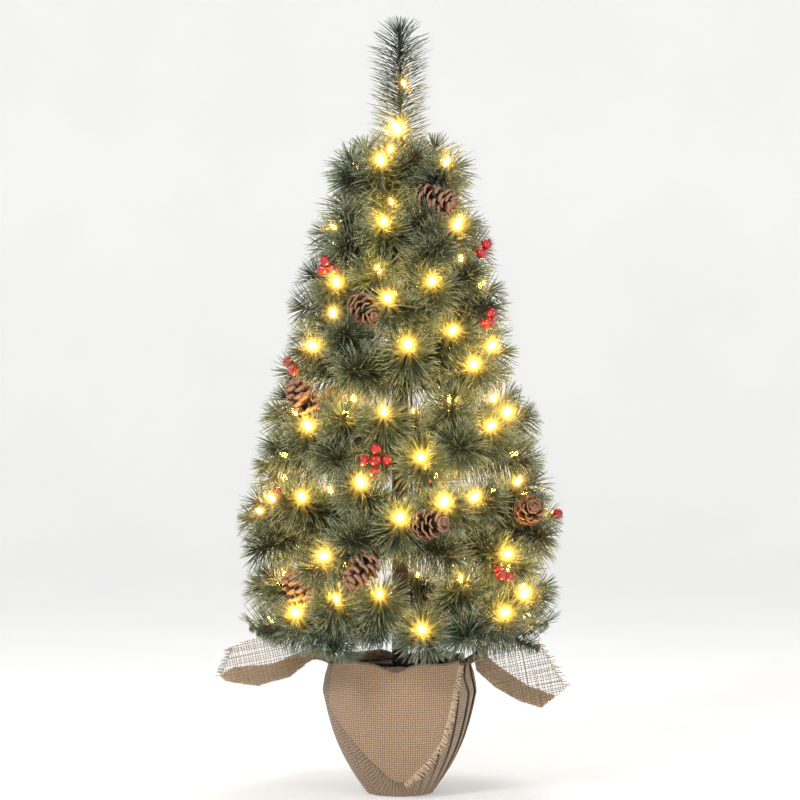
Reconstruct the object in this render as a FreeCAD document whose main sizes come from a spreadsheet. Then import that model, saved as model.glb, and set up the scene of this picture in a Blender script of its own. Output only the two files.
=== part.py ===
import FreeCAD, Part
import Sketcher
import math
import os

# A pre-lit tabletop tree, 3 ft tall. It stands on its burlap-wrapped pot: the origin is the
# middle of the underside, +Z is up and the front faces -Y. Lengths are in millimetres.
os.makedirs("parts", exist_ok=True)
doc = FreeCAD.newDocument("tabletop_tree")

SIZES = {
    # pot, its burlap and its filling
    "cloth": 2.4,
    "gap": 0.3,
    "foot_radius": 39,
    "belly_radius": 87,
    "belly_height": 118,
    "rim_radius": 82,
    "rim_height": 151,
    "belly_arc": 230,
    "pot_wall": 2.5,
    "ballast_top": 70,
    "foam_top": 146,
    # trunk and what is wound on it
    "trunk_radius": 9.5,
    "trunk_wall": 1.5,
    "trunk_foot": 8,
    "trunk_top": 735,
    "wrap_radius": 12.5,
    "wrap_height": 16,
    "lead_radius": 1.2,
    "lead_place": 14.6,
    # branches
    "hinge_radius": 15.5,
    "eye_radius": 2.4,
    "eye_width": 6,
    "stem_radius": 1.6,
    "core_root": 4.5,
    "core_tip": 2.2,
    "twig_root": 3.2,
    "twig_tip": 1.6,
    "leader_root": 4,
    "leader_tip": 1.6,
    "tree_top": 891,
    # lamps, pine cones and berries
    "lamp_root": 2.6,
    "lamp_tip": 1.8,
    "lamp_length": 9,
    "lamp_side": 7,
    "branch_lead": 0.9,
    "lead_drop": 9,
    "pinecone_half_length": 24,
    "pinecone_radius": 21,
    "berry_radius": 6.5,
    "stalk_radius": 0.9,
    # battery box, sunk in the foam behind the trunk
    "box_length": 78,
    "box_width": 50,
    "box_depth": 23,
    "box_front": 12,
    "box_top": 147,
    "box_wall": 1.6,
    "bay_length": 56,
    "cell_radius": 7.2,
    "cell_length": 50,
    "cover_thickness": 2.2,
    "button_radius": 4,
    "button_length": 6.2,
    "board_thickness": 1.6,
    "contact_thickness": 1,
}

sheet = doc.addObject("Spreadsheet::Sheet", "Sizes")
for row, (alias, amount) in enumerate(SIZES.items(), start=1):
    sheet.set(f"A{row}", alias)
    sheet.set(f"B{row}", str(amount))
    sheet.setAlias(f"B{row}", alias)
doc.recompute()

subparts = []
UP = FreeCAD.Vector(0, 0, 1)


def number(expression):
    """What an expression over the sheet's cells comes to."""
    return float(sheet.evalExpression(expression))


def subpart(obj, label):
    """Names an object as one of the sub-parts that are written out."""
    obj.Label = label
    subparts.append(obj)
    return obj


def turned(direction, place):
    """A placement that lays an object's own +Z along direction, starting at place."""
    return FreeCAD.Placement(place, FreeCAD.Rotation(UP, direction))


def bound(kind, name, sizes, placement=None):
    """A primitive with its sizes bound to the sheet."""
    obj = doc.addObject(kind, name)
    for prop, expression in sizes.items():
        obj.setExpression(prop, expression)
    if placement is not None:
        obj.Placement = placement
    return obj


def group(label, pieces, placement=None):
    """One sub-part that holds several separate solids."""
    obj = doc.addObject("Part::Compound", label)
    obj.Links = pieces
    if placement is not None:
        obj.Placement = placement
    return subpart(obj, label)


# Sketches and bodies


def plane(body, role):
    return next(f for f in body.Origin.OriginFeatures if f.Role == role)


def arc_middle(start, end, radius, side=1):
    """The middle of the short arc that bulges to the right of the way from start to end, or with a
    side of -1 to the left."""
    chord = end - start
    half = chord.Length / 2
    out = FreeCAD.Vector(chord.y, -chord.x, 0).normalize() * side
    rise = radius - math.sqrt(radius * radius - half * half)
    return start + chord * 0.5 + out * rise


def outline(body, name, role, corners):
    """A closed sketch through corners, each (x, y) in expressions, and (x, y, radius, side) where an
    arc follows the corner."""
    sketch = body.newObject("Sketcher::SketchObject", name)
    sketch.AttachmentSupport = [(plane(body, role), "")]
    sketch.MapMode = "FlatFace"
    points = [FreeCAD.Vector(number(c[0]), number(c[1]), 0) for c in corners]
    ends = []
    for i, corner in enumerate(corners):
        start, end = points[i], points[(i + 1) % len(points)]
        if len(corner) > 2:
            middle = arc_middle(start, end, number(corner[2]), corner[3])
            index = sketch.addGeometry(Part.Arc(start, middle, end))
            forward = sketch.getPoint(index, 1).distanceToPoint(start) < 1e-6
            ends.append((index, 1, 2) if forward else (index, 2, 1))
        else:
            ends.append((sketch.addGeometry(Part.LineSegment(start, end)), 1, 2))
    for i, corner in enumerate(corners):
        index, first, last = ends[i]
        following = ends[(i + 1) % len(corners)]
        sketch.addConstraint(Sketcher.Constraint("Coincident", index, last, following[0], following[1]))
        for kind, axis in (("DistanceX", 0), ("DistanceY", 1)):
            made = sketch.addConstraint(
                Sketcher.Constraint(kind, -1, 1, index, first, number(corner[axis]))
            )
            sketch.setExpression(f"Constraints[{made}]", corner[axis])
        if len(corner) > 2:
            made = sketch.addConstraint(Sketcher.Constraint("Radius", index, number(corner[2])))
            sketch.setExpression(f"Constraints[{made}]", corner[2])
    return sketch


def rectangle(body, name, low_x, low_y, wide, deep):
    """A rectangular sketch on the body's XY plane, from its low corner."""
    high_x, high_y = f"{low_x} + {wide}", f"{low_y} + {deep}"
    corners = [(low_x, low_y), (high_x, low_y), (high_x, high_y), (low_x, high_y)]
    return outline(body, name, "XY_Plane", corners)


def circle(body, name, x, y, radius):
    """A round sketch on the body's XY plane."""
    sketch = body.newObject("Sketcher::SketchObject", name)
    sketch.AttachmentSupport = [(plane(body, "XY_Plane"), "")]
    sketch.MapMode = "FlatFace"
    middle = FreeCAD.Vector(number(x), number(y), 0)
    index = sketch.addGeometry(Part.Circle(middle, UP, number(radius)))
    for kind, expression in (("DistanceX", x), ("DistanceY", y)):
        made = sketch.addConstraint(Sketcher.Constraint(kind, -1, 1, index, 3, number(expression)))
        sketch.setExpression(f"Constraints[{made}]", expression)
    made = sketch.addConstraint(Sketcher.Constraint("Radius", index, number(radius)))
    sketch.setExpression(f"Constraints[{made}]", radius)
    return sketch


def lift(sketch, height):
    sketch.AttachmentOffset = FreeCAD.Placement(FreeCAD.Vector(0, 0, number(height)), FreeCAD.Rotation())
    sketch.setExpression("AttachmentOffset.Base.z", height)


def revolved(label, corners):
    """A body turned about Z from a half outline in the XZ plane."""
    body = doc.addObject("PartDesign::Body", label)
    sketch = outline(body, label + "_outline", "XZ_Plane", corners)
    turn = body.newObject("PartDesign::Revolution", label + "_turn")
    turn.Profile = sketch
    turn.ReferenceAxis = (sketch, ["V_Axis"])
    turn.Angle = 360
    doc.recompute()
    return subpart(body, label)


def pad(body, sketch, length):
    feature = body.newObject("PartDesign::Pad", sketch.Name + "_pad")
    feature.Profile = sketch
    feature.setExpression("Length", length)
    doc.recompute()
    return feature


def cut(body, sketch, depth, upwards=False):
    """A pocket down from its sketch, or up from it. It stops the build if it removed nothing."""
    before = body.Shape.Volume
    feature = body.newObject("PartDesign::Pocket", sketch.Name + "_cut")
    feature.Profile = sketch
    feature.Reversed = upwards
    feature.setExpression("Length", depth)
    doc.recompute()
    assert body.Shape.Volume < before - 1, sketch.Name
    return feature


# Pot, burlap, ballast and foam


def pot_wall_outline(inset, thickness, floor, top):
    """The half outline of a round shell that lies inset millimetres inside the burlap's outside."""
    inner = f"({inset} + {thickness})"
    return [
        ("0", floor),
        (f"Sizes.foot_radius - {inset}", floor, "Sizes.belly_arc", 1),
        (f"Sizes.belly_radius - {inset}", "Sizes.belly_height"),
        (f"Sizes.rim_radius - {inset}", top),
        (f"Sizes.rim_radius - {inner}", top),
        (f"Sizes.belly_radius - {inner}", "Sizes.belly_height", "Sizes.belly_arc", -1),
        (f"Sizes.foot_radius - {inner}", f"{floor} + {thickness}"),
        ("0", f"{floor} + {thickness}"),
    ]


POT_INSET = "(Sizes.cloth + Sizes.gap)"
FILL_INSET = "(Sizes.cloth + Sizes.gap * 2 + Sizes.pot_wall)"
BALLAST_FOOT = "(Sizes.cloth + Sizes.gap * 2 + Sizes.pot_wall)"
BALLAST_EDGE = "Sizes.belly_radius * 0.78"
BOX_LOW_X = "-Sizes.box_length / 2"

burlap_wrap = revolved("burlap_wrap", pot_wall_outline("0", "Sizes.cloth", "0", "Sizes.rim_height"))
pot = revolved("pot", pot_wall_outline(POT_INSET, "Sizes.pot_wall", POT_INSET, "Sizes.rim_height - 2"))

# the ballast has a socket that the trunk's foot stands in
ballast = revolved(
    "ballast",
    [
        ("0", BALLAST_FOOT),
        (f"Sizes.foot_radius - {FILL_INSET}", BALLAST_FOOT),
        (BALLAST_EDGE, "Sizes.ballast_top"),
        ("Sizes.trunk_radius", "Sizes.ballast_top"),
        ("Sizes.trunk_radius", "Sizes.trunk_foot"),
        ("0", "Sizes.trunk_foot"),
    ],
)

foam_plug = revolved(
    "foam_plug",
    [
        ("Sizes.trunk_radius + Sizes.gap / 2", "Sizes.ballast_top"),
        (BALLAST_EDGE, "Sizes.ballast_top"),
        (f"Sizes.belly_radius - {FILL_INSET}", "Sizes.belly_height"),
        (f"Sizes.rim_radius - {FILL_INSET} - 0.4", "Sizes.foam_top"),
        ("Sizes.trunk_radius + Sizes.gap / 2", "Sizes.foam_top"),
    ],
)
recess = rectangle(
    foam_plug,
    "box_recess",
    f"{BOX_LOW_X} - Sizes.gap",
    "Sizes.box_front - Sizes.gap",
    "(Sizes.box_length + Sizes.gap * 2)",
    "(Sizes.box_width + Sizes.gap * 2)",
)
lift(recess, "Sizes.foam_top")
cut(foam_plug, recess, "Sizes.box_depth - (Sizes.box_top - Sizes.foam_top) + Sizes.gap")


# Burlap corners: the sheet's four corners hang over the pot's rim

# each side corner hangs as a folded leaf. Its outline is drawn on its own XZ plane
LEAF_LEFT = [
    (-94, 135),
    (-126, 132),
    (-168, 122),
    (-213, 131),
    (-204, 160),
    (-168, 184),
    (-128, 188),
    (-96, 178),
    (-74, 168),
    (-74, 161),
    (-94, 161),
]
LEAF_RIGHT = [
    (94, 124),
    (118, 112),
    (172, 96),
    (190, 99),
    (201, 124),
    (164, 178),
    (124, 174),
    (76, 168),
    (76, 161),
    (94, 161),
]
LEAF_DEPTH = 26
HANGING_TRIANGLE = [
    (-84, 161),
    (-83, 108),
    (-69, 86),
    (-41, 52),
    (-12, 25),
    (2, 17),
    (15, 28),
    (32, 46),
    (48, 72),
    (56, 103),
    (61, 131),
    (70, 161),
]
FLAP_STANDOFF = 0.4
FLAP_THICKNESS = 5


def vectors(points, y=0):
    return [FreeCAD.Vector(x, y, z) for x, z in points]


def leaf(label, points):
    """A side corner: a flat closed solid, LEAF_DEPTH from front to back."""
    wire = Part.makePolygon(vectors(points + points[:1], -LEAF_DEPTH / 2))
    obj = doc.addObject("Part::Feature", label)
    obj.Shape = Part.Face(wire).extrude(FreeCAD.Vector(0, LEAF_DEPTH, 0))
    return subpart(obj, label)


def wrap_side(offset):
    """The burlap wrap's side, as a solid of revolution that many millimetres larger."""
    foot = FreeCAD.Vector(number("Sizes.foot_radius") + offset, 0, 0)
    belly = FreeCAD.Vector(number("Sizes.belly_radius") + offset, number("Sizes.belly_height"), 0)
    rim = FreeCAD.Vector(number("Sizes.rim_radius") + offset, number("Sizes.rim_height") + 8, 0)
    bulge = arc_middle(foot, belly, number("Sizes.belly_arc"))
    low, middle, high = (FreeCAD.Vector(p.x, 0, p.y) for p in (foot, bulge, belly))
    top = FreeCAD.Vector(rim.x, 0, rim.y)
    edges = [
        Part.LineSegment(FreeCAD.Vector(0, 0, 0), low).toShape(),
        Part.Arc(low, middle, high).toShape(),
        Part.LineSegment(high, top).toShape(),
        Part.LineSegment(top, FreeCAD.Vector(0, 0, top.z)).toShape(),
        Part.LineSegment(FreeCAD.Vector(0, 0, top.z), FreeCAD.Vector(0, 0, 0)).toShape(),
    ]
    return Part.Face(Part.Wire(edges)).revolve(FreeCAD.Vector(0, 0, 0), UP, 360)


def hanging_flap(label, turn):
    """A corner that hangs down against the pot, as a shell cut to a triangle that points down."""
    reach = number("Sizes.belly_radius") * 2
    triangle = Part.Face(Part.makePolygon(vectors(HANGING_TRIANGLE + HANGING_TRIANGLE[:1])))
    prism = triangle.extrude(FreeCAD.Vector(0, -reach, 0))
    shell = wrap_side(FLAP_STANDOFF + FLAP_THICKNESS).cut(wrap_side(FLAP_STANDOFF))
    obj = doc.addObject("Part::Feature", label)
    obj.Shape = shell.common(prism).Solids[0]
    obj.Placement = FreeCAD.Placement(FreeCAD.Vector(0, 0, 0), FreeCAD.Rotation(UP, turn))
    return subpart(obj, label)


hanging_flap("burlap_flap_front", 0)
hanging_flap("burlap_flap_back", 180)
leaf("burlap_flap_left", LEAF_LEFT)
leaf("burlap_flap_right", LEAF_RIGHT)


# Trunk: a steel tube, with the collars of wound tape that the branch tiers are rooted in

trunk = revolved(
    "trunk",
    [
        ("Sizes.trunk_radius - Sizes.trunk_wall", "Sizes.trunk_foot"),
        ("Sizes.trunk_radius", "Sizes.trunk_foot"),
        ("Sizes.trunk_radius", "Sizes.trunk_top"),
        ("Sizes.trunk_radius - Sizes.trunk_wall", "Sizes.trunk_top"),
    ],
)

# the hinged tiers: name, height on the trunk, reach, rise in degrees and the first branch's bearing
HINGED_TIERS = [
    ("lower", 198, 176, 5, 45),
    ("middle", 300, 175, 8, 0),
    ("upper", 394, 158, 12, 45),
]
# how far down the first right-hand twig of each tier's branches points
FIRST_TWIG_PITCH = {"lower": -6, "middle": -20, "upper": -15}
HINGED_COUNT = 4

# the fixed tiers above them: name, height, reach, rise, bearing and number of branches
CROWN_TIERS = [
    ("crown_tier_1", 484, 124, 17, 58.5, 5),
    ("crown_tier_2", 556, 110, 20, 76.5, 5),
    ("crown_tier_3", 625, 92, 24, 40.5, 5),
    ("crown_tier_4", 690, 80, 38, 67.5, 4),
]

# twigs: how far along the branch, yaw, pitch, and length as a share of the branch's
SIDE_TWIGS = [
    (0.22, 51, 14, 0.84),
    (0.42, 35, 12, 0.66),
    (0.42, -35, 27, 0.66),
    (0.58, 47, -24, 0.52),
    (0.58, -47, -12, 0.52),
]
CROWN_TWIGS = [(0.3, 46, 17, 0.82), (0.3, -46, -13, 0.82), (0.46, 4, 44, 0.66)]

wrap_rings = []
for name, height, *_ in HINGED_TIERS + CROWN_TIERS:
    solid = bound(
        "Part::Cylinder",
        name + "_ring",
        {"Radius": "Sizes.wrap_radius", "Height": "Sizes.wrap_height"},
    )
    bore = bound(
        "Part::Cylinder",
        name + "_ring_bore",
        {"Radius": "Sizes.trunk_radius", "Height": "Sizes.wrap_height"},
    )
    ring = doc.addObject("Part::Cut", name + "_collar")
    ring.Base = solid
    ring.Tool = bore
    ring.Placement.Base = FreeCAD.Vector(0, 0, height - number("Sizes.wrap_height") / 2)
    wrap_rings.append(ring)
group("branch_wraps", wrap_rings)


def aimed(yaw, pitch):
    """A unit vector at yaw degrees round from +X and pitch degrees up."""
    level = math.cos(math.radians(pitch))
    return FreeCAD.Vector(
        level * math.cos(math.radians(yaw)),
        level * math.sin(math.radians(yaw)),
        math.sin(math.radians(pitch)),
    )


def tapered(name, root, tip, length, placement):
    sizes = {"Radius1": root, "Radius2": tip, "Height": length}
    return bound("Part::Cone", name, sizes, placement)


def twig(name, length, spec):
    """A side twig's core. It starts just clear of the branch's own core."""
    along, yaw, pitch, share = spec
    way = aimed(yaw, pitch)
    apart = math.sin(math.acos(way.x))
    skip = (number("Sizes.core_root + Sizes.twig_root + Sizes.gap")) / apart
    start = FreeCAD.Vector(along * number(length), 0, 0) + way * skip
    return tapered(name, "Sizes.twig_root", "Sizes.twig_tip", f"{length} * {share} - {skip:.3f}",
                   turned(way, start))


def branch_cores(name, length, first, twigs):
    """A bare stem, the main brush's core and its twigs' cores, along +X."""
    bare = f"({length}) * 0.16"
    stem = bound(
        "Part::Cylinder",
        name + "_stem",
        {"Radius": "Sizes.stem_radius", "Height": f"{bare} - {first}"},
        turned(FreeCAD.Vector(1, 0, 0), FreeCAD.Vector(number(first), 0, 0)),
    )
    core = tapered(name + "_core", "Sizes.core_root", "Sizes.core_tip", f"({length}) * 0.84",
                   turned(FreeCAD.Vector(1, 0, 0), FreeCAD.Vector(number(bare), 0, 0)))
    return [stem, core] + [twig(f"{name}_twig_{i}", f"({length})", s) for i, s in enumerate(twigs, 1)]


def lamp(name, length, spec, share):
    """A lamp beside a twig, or beside the branch itself where spec is None, share of the way out."""
    along, yaw, pitch, reach = spec or (0, 0, 0, 1)
    way = aimed(yaw, pitch)
    side = UP - way * way.z
    side.normalize()
    place = FreeCAD.Vector(along * number(length), 0, 0) + way * (number(length) * reach * share)
    sizes = {"Radius1": "Sizes.lamp_root", "Radius2": "Sizes.lamp_tip", "Height": "Sizes.lamp_length"}
    placed = turned(way * 2 + side, place + side * number("Sizes.lamp_side"))
    return bound("Part::Cone", name, sizes, placed)


def branch_placement(root, height, rise, bearing):
    """Where a branch's own +X frame goes: out at bearing, tilted up by rise about its root."""
    tilt = FreeCAD.Rotation(FreeCAD.Vector(0, 1, 0), -rise)
    turn = FreeCAD.Rotation(UP, bearing)
    place = turn.multVec(FreeCAD.Vector(root, 0, height))
    return FreeCAD.Placement(place, turn.multiply(tilt))


# Hinged branches, each with its string of lamps

for tier, height, reach, rise, first_bearing in HINGED_TIERS:
    sheet_row = len(SIZES) + 1 + [t[0] for t in HINGED_TIERS].index(tier)
    sheet.set(f"A{sheet_row}", tier + "_reach")
    sheet.set(f"B{sheet_row}", str(reach))
    sheet.setAlias(f"B{sheet_row}", tier + "_reach")
    doc.recompute()
    length = f"(Sizes.{tier}_reach - Sizes.hinge_radius)"
    twigs = [SIDE_TWIGS[0], (0.22, -51, FIRST_TWIG_PITCH[tier], 0.84), *SIDE_TWIGS[1:]]
    for index in range(HINGED_COUNT):
        name = f"{tier}_branch_{index + 1}"
        placement = branch_placement(
            number("Sizes.hinge_radius"), height, rise, first_bearing + index * 360 / HINGED_COUNT
        )
        eye = bound(
            "Part::Cylinder",
            name + "_eye",
            {"Radius": "Sizes.eye_radius", "Height": "Sizes.eye_width"},
            turned(FreeCAD.Vector(0, 1, 0), FreeCAD.Vector(0, -number("Sizes.eye_width") / 2, 0)),
        )
        group(name, [eye] + branch_cores(name, length, "Sizes.eye_radius", twigs), placement)
        drop = FreeCAD.Vector(number("Sizes.eye_radius"), 0, -number("Sizes.lead_drop"))
        lead = bound(
            "Part::Cylinder",
            name + "_lead",
            {"Radius": "Sizes.branch_lead", "Height": f"{length} * 0.9"},
            turned(FreeCAD.Vector(1, 0, 0), drop),
        )
        lights = [lamp(f"{name}_lamp_0", length, None, 0.93)]
        lights += [lamp(f"{name}_lamp_{i}", length, s, 0.82) for i, s in enumerate(twigs[:4], 1)]
        group(f"{tier}_lights_{index + 1}", [lead] + lights, placement)


# Crown: fixed tiers of short branches, their lamps and the leader on top

crown_lights = []
for row, (tier, height, reach, rise, first_bearing, count) in enumerate(CROWN_TIERS):
    cores = []
    root = "Sizes.wrap_radius"
    for index in range(count):
        name = f"{tier}_branch_{index + 1}"
        length = f"({reach} - {root})"
        placement = branch_placement(number(root), height, rise, first_bearing + index * 360 / count)
        own = branch_cores(name, length, "Sizes.stem_radius * 0.6", CROWN_TWIGS)
        own_lamps = [
            lamp(f"{name}_lamp_0", length, None, 0.9),
            lamp(f"{name}_lamp_1", length, CROWN_TWIGS[(index + row) % 3], 0.84),
        ]
        for piece in own + own_lamps:
            piece.Placement = placement.multiply(piece.Placement)
        cores += own
        crown_lights += own_lamps
    group(tier, cores)

leader_foot = number("Sizes.trunk_top")
leader = tapered(
    "leader_core",
    "Sizes.leader_root",
    "Sizes.leader_tip",
    "Sizes.tree_top - Sizes.trunk_top - 0.2",
    turned(UP, FreeCAD.Vector(0, 0, leader_foot + 0.2)),
)
group("leader", [leader])
for index, (rise, bearing) in enumerate(((40, 250), (95, 70))):
    side = aimed(bearing, 0) * number("Sizes.lamp_side")
    placed = turned(UP + aimed(bearing, 0) * 0.7, side + UP * (leader_foot + rise))
    sizes = {"Radius1": "Sizes.lamp_root", "Radius2": "Sizes.lamp_tip", "Height": "Sizes.lamp_length"}
    crown_lights.append(bound("Part::Cone", f"leader_lamp_{index}", sizes, placed))
group("crown_lights", crown_lights)

# the lamp string's own lead climbs beside the trunk from the foam
LEAD_BEARING = 22.5
trunk_lead = bound(
    "Part::Cylinder",
    "trunk_lead",
    {"Radius": "Sizes.lead_radius", "Height": "Sizes.trunk_top - Sizes.foam_top"},
    FreeCAD.Placement(
        aimed(LEAD_BEARING, 0) * number("Sizes.lead_place") + UP * number("Sizes.foam_top"),
        FreeCAD.Rotation(),
    ),
)
subpart(trunk_lead, "trunk_lead")


# Pine cones and berry picks. Each is wired to a branch. A node's list gives, for each one, the tier
# and the branch, how far along that branch its wire ends, its own middle, and how many berries


def pinecone(name, place, root):
    """An egg-shaped body whose axis points away from the end of its wire."""
    way = (place - root).normalize()
    egg = bound(
        "Part::Ellipsoid",
        name + "_egg",
        {
            "Radius1": "Sizes.pinecone_half_length",
            "Radius2": "Sizes.pinecone_radius",
            "Radius3": "Sizes.pinecone_radius",
        },
        turned(way, place),
    )
    return [egg, stalk(name, root, place - way * number("Sizes.pinecone_half_length"))]


def stalk(name, start, end):
    way = end - start
    sizes = {"Radius": "Sizes.stalk_radius"}
    wire = bound("Part::Cylinder", name + "_wire", sizes, turned(way, start))
    wire.Height = way.Length
    return wire


# neighbouring berries of a pick stand this much further in or out
BERRY_STAGGER = 1.5


def berries(name, place, root, count):
    """A ring of berries that touch, with one in the middle where there are more than four."""
    way = (place - root).normalize()
    across = way.cross(UP).normalize()
    along = across.cross(way)
    radius = number("Sizes.berry_radius")
    outer = count - 1 if count > 4 else count
    ring = (radius + 0.15) / math.sin(math.pi / outer) if outer > 1 else 0
    spots = [FreeCAD.Vector(0, 0, 0)] if outer < count else []
    ring = max(ring, 2 * radius + 0.3) if outer < count else ring
    for i in range(outer):
        angle = math.radians(90) + i * math.tau / outer
        depth = way * (BERRY_STAGGER * (-1) ** i)
        spots.append(across * (ring * math.cos(angle)) + along * (ring * math.sin(angle)) + depth)
    solids = [
        bound("Part::Sphere", f"{name}_{i}", {"Radius": "Sizes.berry_radius"},
              FreeCAD.Placement(place + spot, FreeCAD.Rotation()))
        for i, spot in enumerate(spots)
    ]
    middle = outer < count or outer == 1
    end = place - way * (radius if middle else 0)
    return solids + [stalk(name, root, end)]


def on_branch(tier, index, along):
    """A point just above a branch's core, along of its length from the root."""
    rows = {t[0]: t for t in HINGED_TIERS + CROWN_TIERS}
    row = rows[tier]
    count = row[5] if len(row) > 5 else HINGED_COUNT
    root = number("Sizes.wrap_radius") if len(row) > 5 else number("Sizes.hinge_radius")
    placement = branch_placement(root, row[1], row[3], row[4] + (index - 1) * 360 / count)
    return placement, FreeCAD.Vector(along * (row[2] - root), 0, 0)


def wire_end(tier, index, along, place):
    """Where the wire of something at place leaves the branch: clear of the core, on its near side."""
    placement, spot = on_branch(tier, index, along)
    axis = placement.multVec(spot)
    return axis + (place - axis).normalize() * (number("Sizes.core_root") + 0.2)


CONES = {
    "crown_cones": [
        ("crown_tier_4", 3, 0.5, (40, -68, 692)),
        ("crown_tier_2", 3, 0.75, (-41, -96, 564)),
        ("crown_tier_1", 1, 0.7, (72, 83, 480)),
        ("crown_tier_3", 2, 0.6, (-75, 73, 612)),
    ],
    "upper_cone_3": [("upper", 3, 0.7, (-110, -84, 460))],
    "upper_cone_2": [("upper", 2, 0.75, (-84, 106, 452))],
    "middle_cones_4": [
        ("middle", 4, 0.8, (31, -176, 323)),
        ("middle", 4, 0.8, (-42, -162, 272)),
    ],
    "middle_cone_1": [("middle", 1, 0.75, (148, -77, 334))],
    "lower_cone_3": [("lower", 3, 0.75, (-114, -94, 241))],
    "lower_cone_1": [("lower", 1, 0.75, (114, 95, 243))],
}
BERRIES = {
    "crown_berries": [
        ("crown_tier_3", 3, 0.6, (-84, -58, 615), 3),
        ("crown_tier_3", 5, 0.8, (96, -52, 634), 3),
        ("crown_tier_2", 4, 0.7, (102, -66, 553), 3),
        ("crown_tier_1", 3, 0.9, (-125, -35, 499), 3),
        ("crown_tier_2", 1, 0.8, (44, 98, 584), 3),
        ("crown_tier_4", 2, 0.8, (-27, 70, 712), 3),
    ],
    "upper_berries_3": [("upper", 3, 0.4, (-28, -139, 393), 5)],
    "middle_berries_3": [("middle", 3, 0.8, (-142, -65, 353), 1)],
    "middle_berries_1": [("middle", 1, 0.95, (183, -18, 327), 1)],
    "lower_berries_4": [("lower", 4, 0.8, (116, -118, 264), 3)],
    "middle_berries_2": [("middle", 2, 0.75, (29, 149, 358), 3)],
}
for node, wanted in CONES.items():
    solids = []
    for i, (tier, index, along, place) in enumerate(wanted):
        spot = FreeCAD.Vector(*place)
        solids += pinecone(f"{node}_{i}", spot, wire_end(tier, index, along, spot))
    group(node, solids)
for node, wanted in BERRIES.items():
    solids = []
    for i, (tier, index, along, place, count) in enumerate(wanted):
        spot = FreeCAD.Vector(*place)
        solids += berries(f"{node}_{i}", spot, wire_end(tier, index, along, spot), count)
    group(node, solids)


# Battery box: a moulded case with a bay for three cells and one for the switch board

battery_box = doc.addObject("PartDesign::Body", "battery_box")
BOX_FLOOR = "Sizes.box_top - Sizes.box_depth"
case = rectangle(battery_box, "case", BOX_LOW_X, "Sizes.box_front", "Sizes.box_length", "Sizes.box_width")
lift(case, BOX_FLOOR)
pad(battery_box, case, "Sizes.box_depth")
bay = rectangle(
    battery_box,
    "battery_bay",
    f"{BOX_LOW_X} + Sizes.box_wall",
    "Sizes.box_front + Sizes.box_wall",
    "Sizes.bay_length",
    "(Sizes.box_width - Sizes.box_wall * 2)",
)
lift(bay, "Sizes.box_top")
cut(battery_box, bay, "Sizes.box_depth - Sizes.box_wall")
BOARD_LOW_X = f"{BOX_LOW_X} + Sizes.bay_length + Sizes.box_wall * 2"
BOARD_WIDE = "(Sizes.box_length - Sizes.bay_length - Sizes.box_wall * 3)"
board_bay = rectangle(
    battery_box,
    "board_bay",
    BOARD_LOW_X,
    "Sizes.box_front + Sizes.box_wall",
    BOARD_WIDE,
    "(Sizes.box_width - Sizes.box_wall * 2)",
)
lift(board_bay, BOX_FLOOR)
cut(battery_box, board_bay, "Sizes.box_depth - Sizes.box_wall", upwards=True)
BUTTON_X = f"{BOARD_LOW_X} + {BOARD_WIDE} / 2"
BUTTON_Y = "Sizes.box_front + Sizes.box_width / 2"
hole = circle(battery_box, "button_hole", BUTTON_X, BUTTON_Y, "Sizes.button_radius + Sizes.gap")
lift(hole, "Sizes.box_top")
cut(battery_box, hole, "Sizes.box_wall + 1")
subpart(battery_box, "battery_box")


# the cover lies on the bay and lifts straight off. A lip under it locates it between the bay's walls
battery_cover = doc.addObject("PartDesign::Body", "battery_cover")
COVER_UNDERSIDE = "Sizes.box_top + Sizes.gap"
plate = rectangle(
    battery_cover,
    "cover_plate",
    BOX_LOW_X,
    "Sizes.box_front",
    "(Sizes.bay_length + Sizes.box_wall * 2)",
    "Sizes.box_width",
)
lift(plate, COVER_UNDERSIDE)
pad(battery_cover, plate, "Sizes.cover_thickness")
LIP_IN = "(Sizes.box_wall + Sizes.gap)"
LIP_DEPTH = "3"
lip = rectangle(
    battery_cover,
    "cover_lip",
    f"{BOX_LOW_X} + {LIP_IN}",
    f"Sizes.box_front + {LIP_IN}",
    "(Sizes.bay_length - Sizes.gap * 2)",
    "(Sizes.box_width - Sizes.box_wall * 2 - Sizes.gap * 2)",
)
lift(lip, f"{COVER_UNDERSIDE} - {LIP_DEPTH}")
pad(battery_cover, lip, LIP_DEPTH)
LIP_INSIDE = f"({LIP_IN} + 1.4)"
inside = rectangle(
    battery_cover,
    "cover_inside",
    f"{BOX_LOW_X} + {LIP_INSIDE}",
    f"Sizes.box_front + {LIP_INSIDE}",
    "(Sizes.bay_length - Sizes.gap * 2 - 2.8)",
    "(Sizes.box_width - Sizes.box_wall * 2 - Sizes.gap * 2 - 2.8)",
)
lift(inside, f"{COVER_UNDERSIDE} - {LIP_DEPTH}")
cut(battery_cover, inside, LIP_DEPTH, upwards=True)
subpart(battery_cover, "battery_cover")

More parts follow.
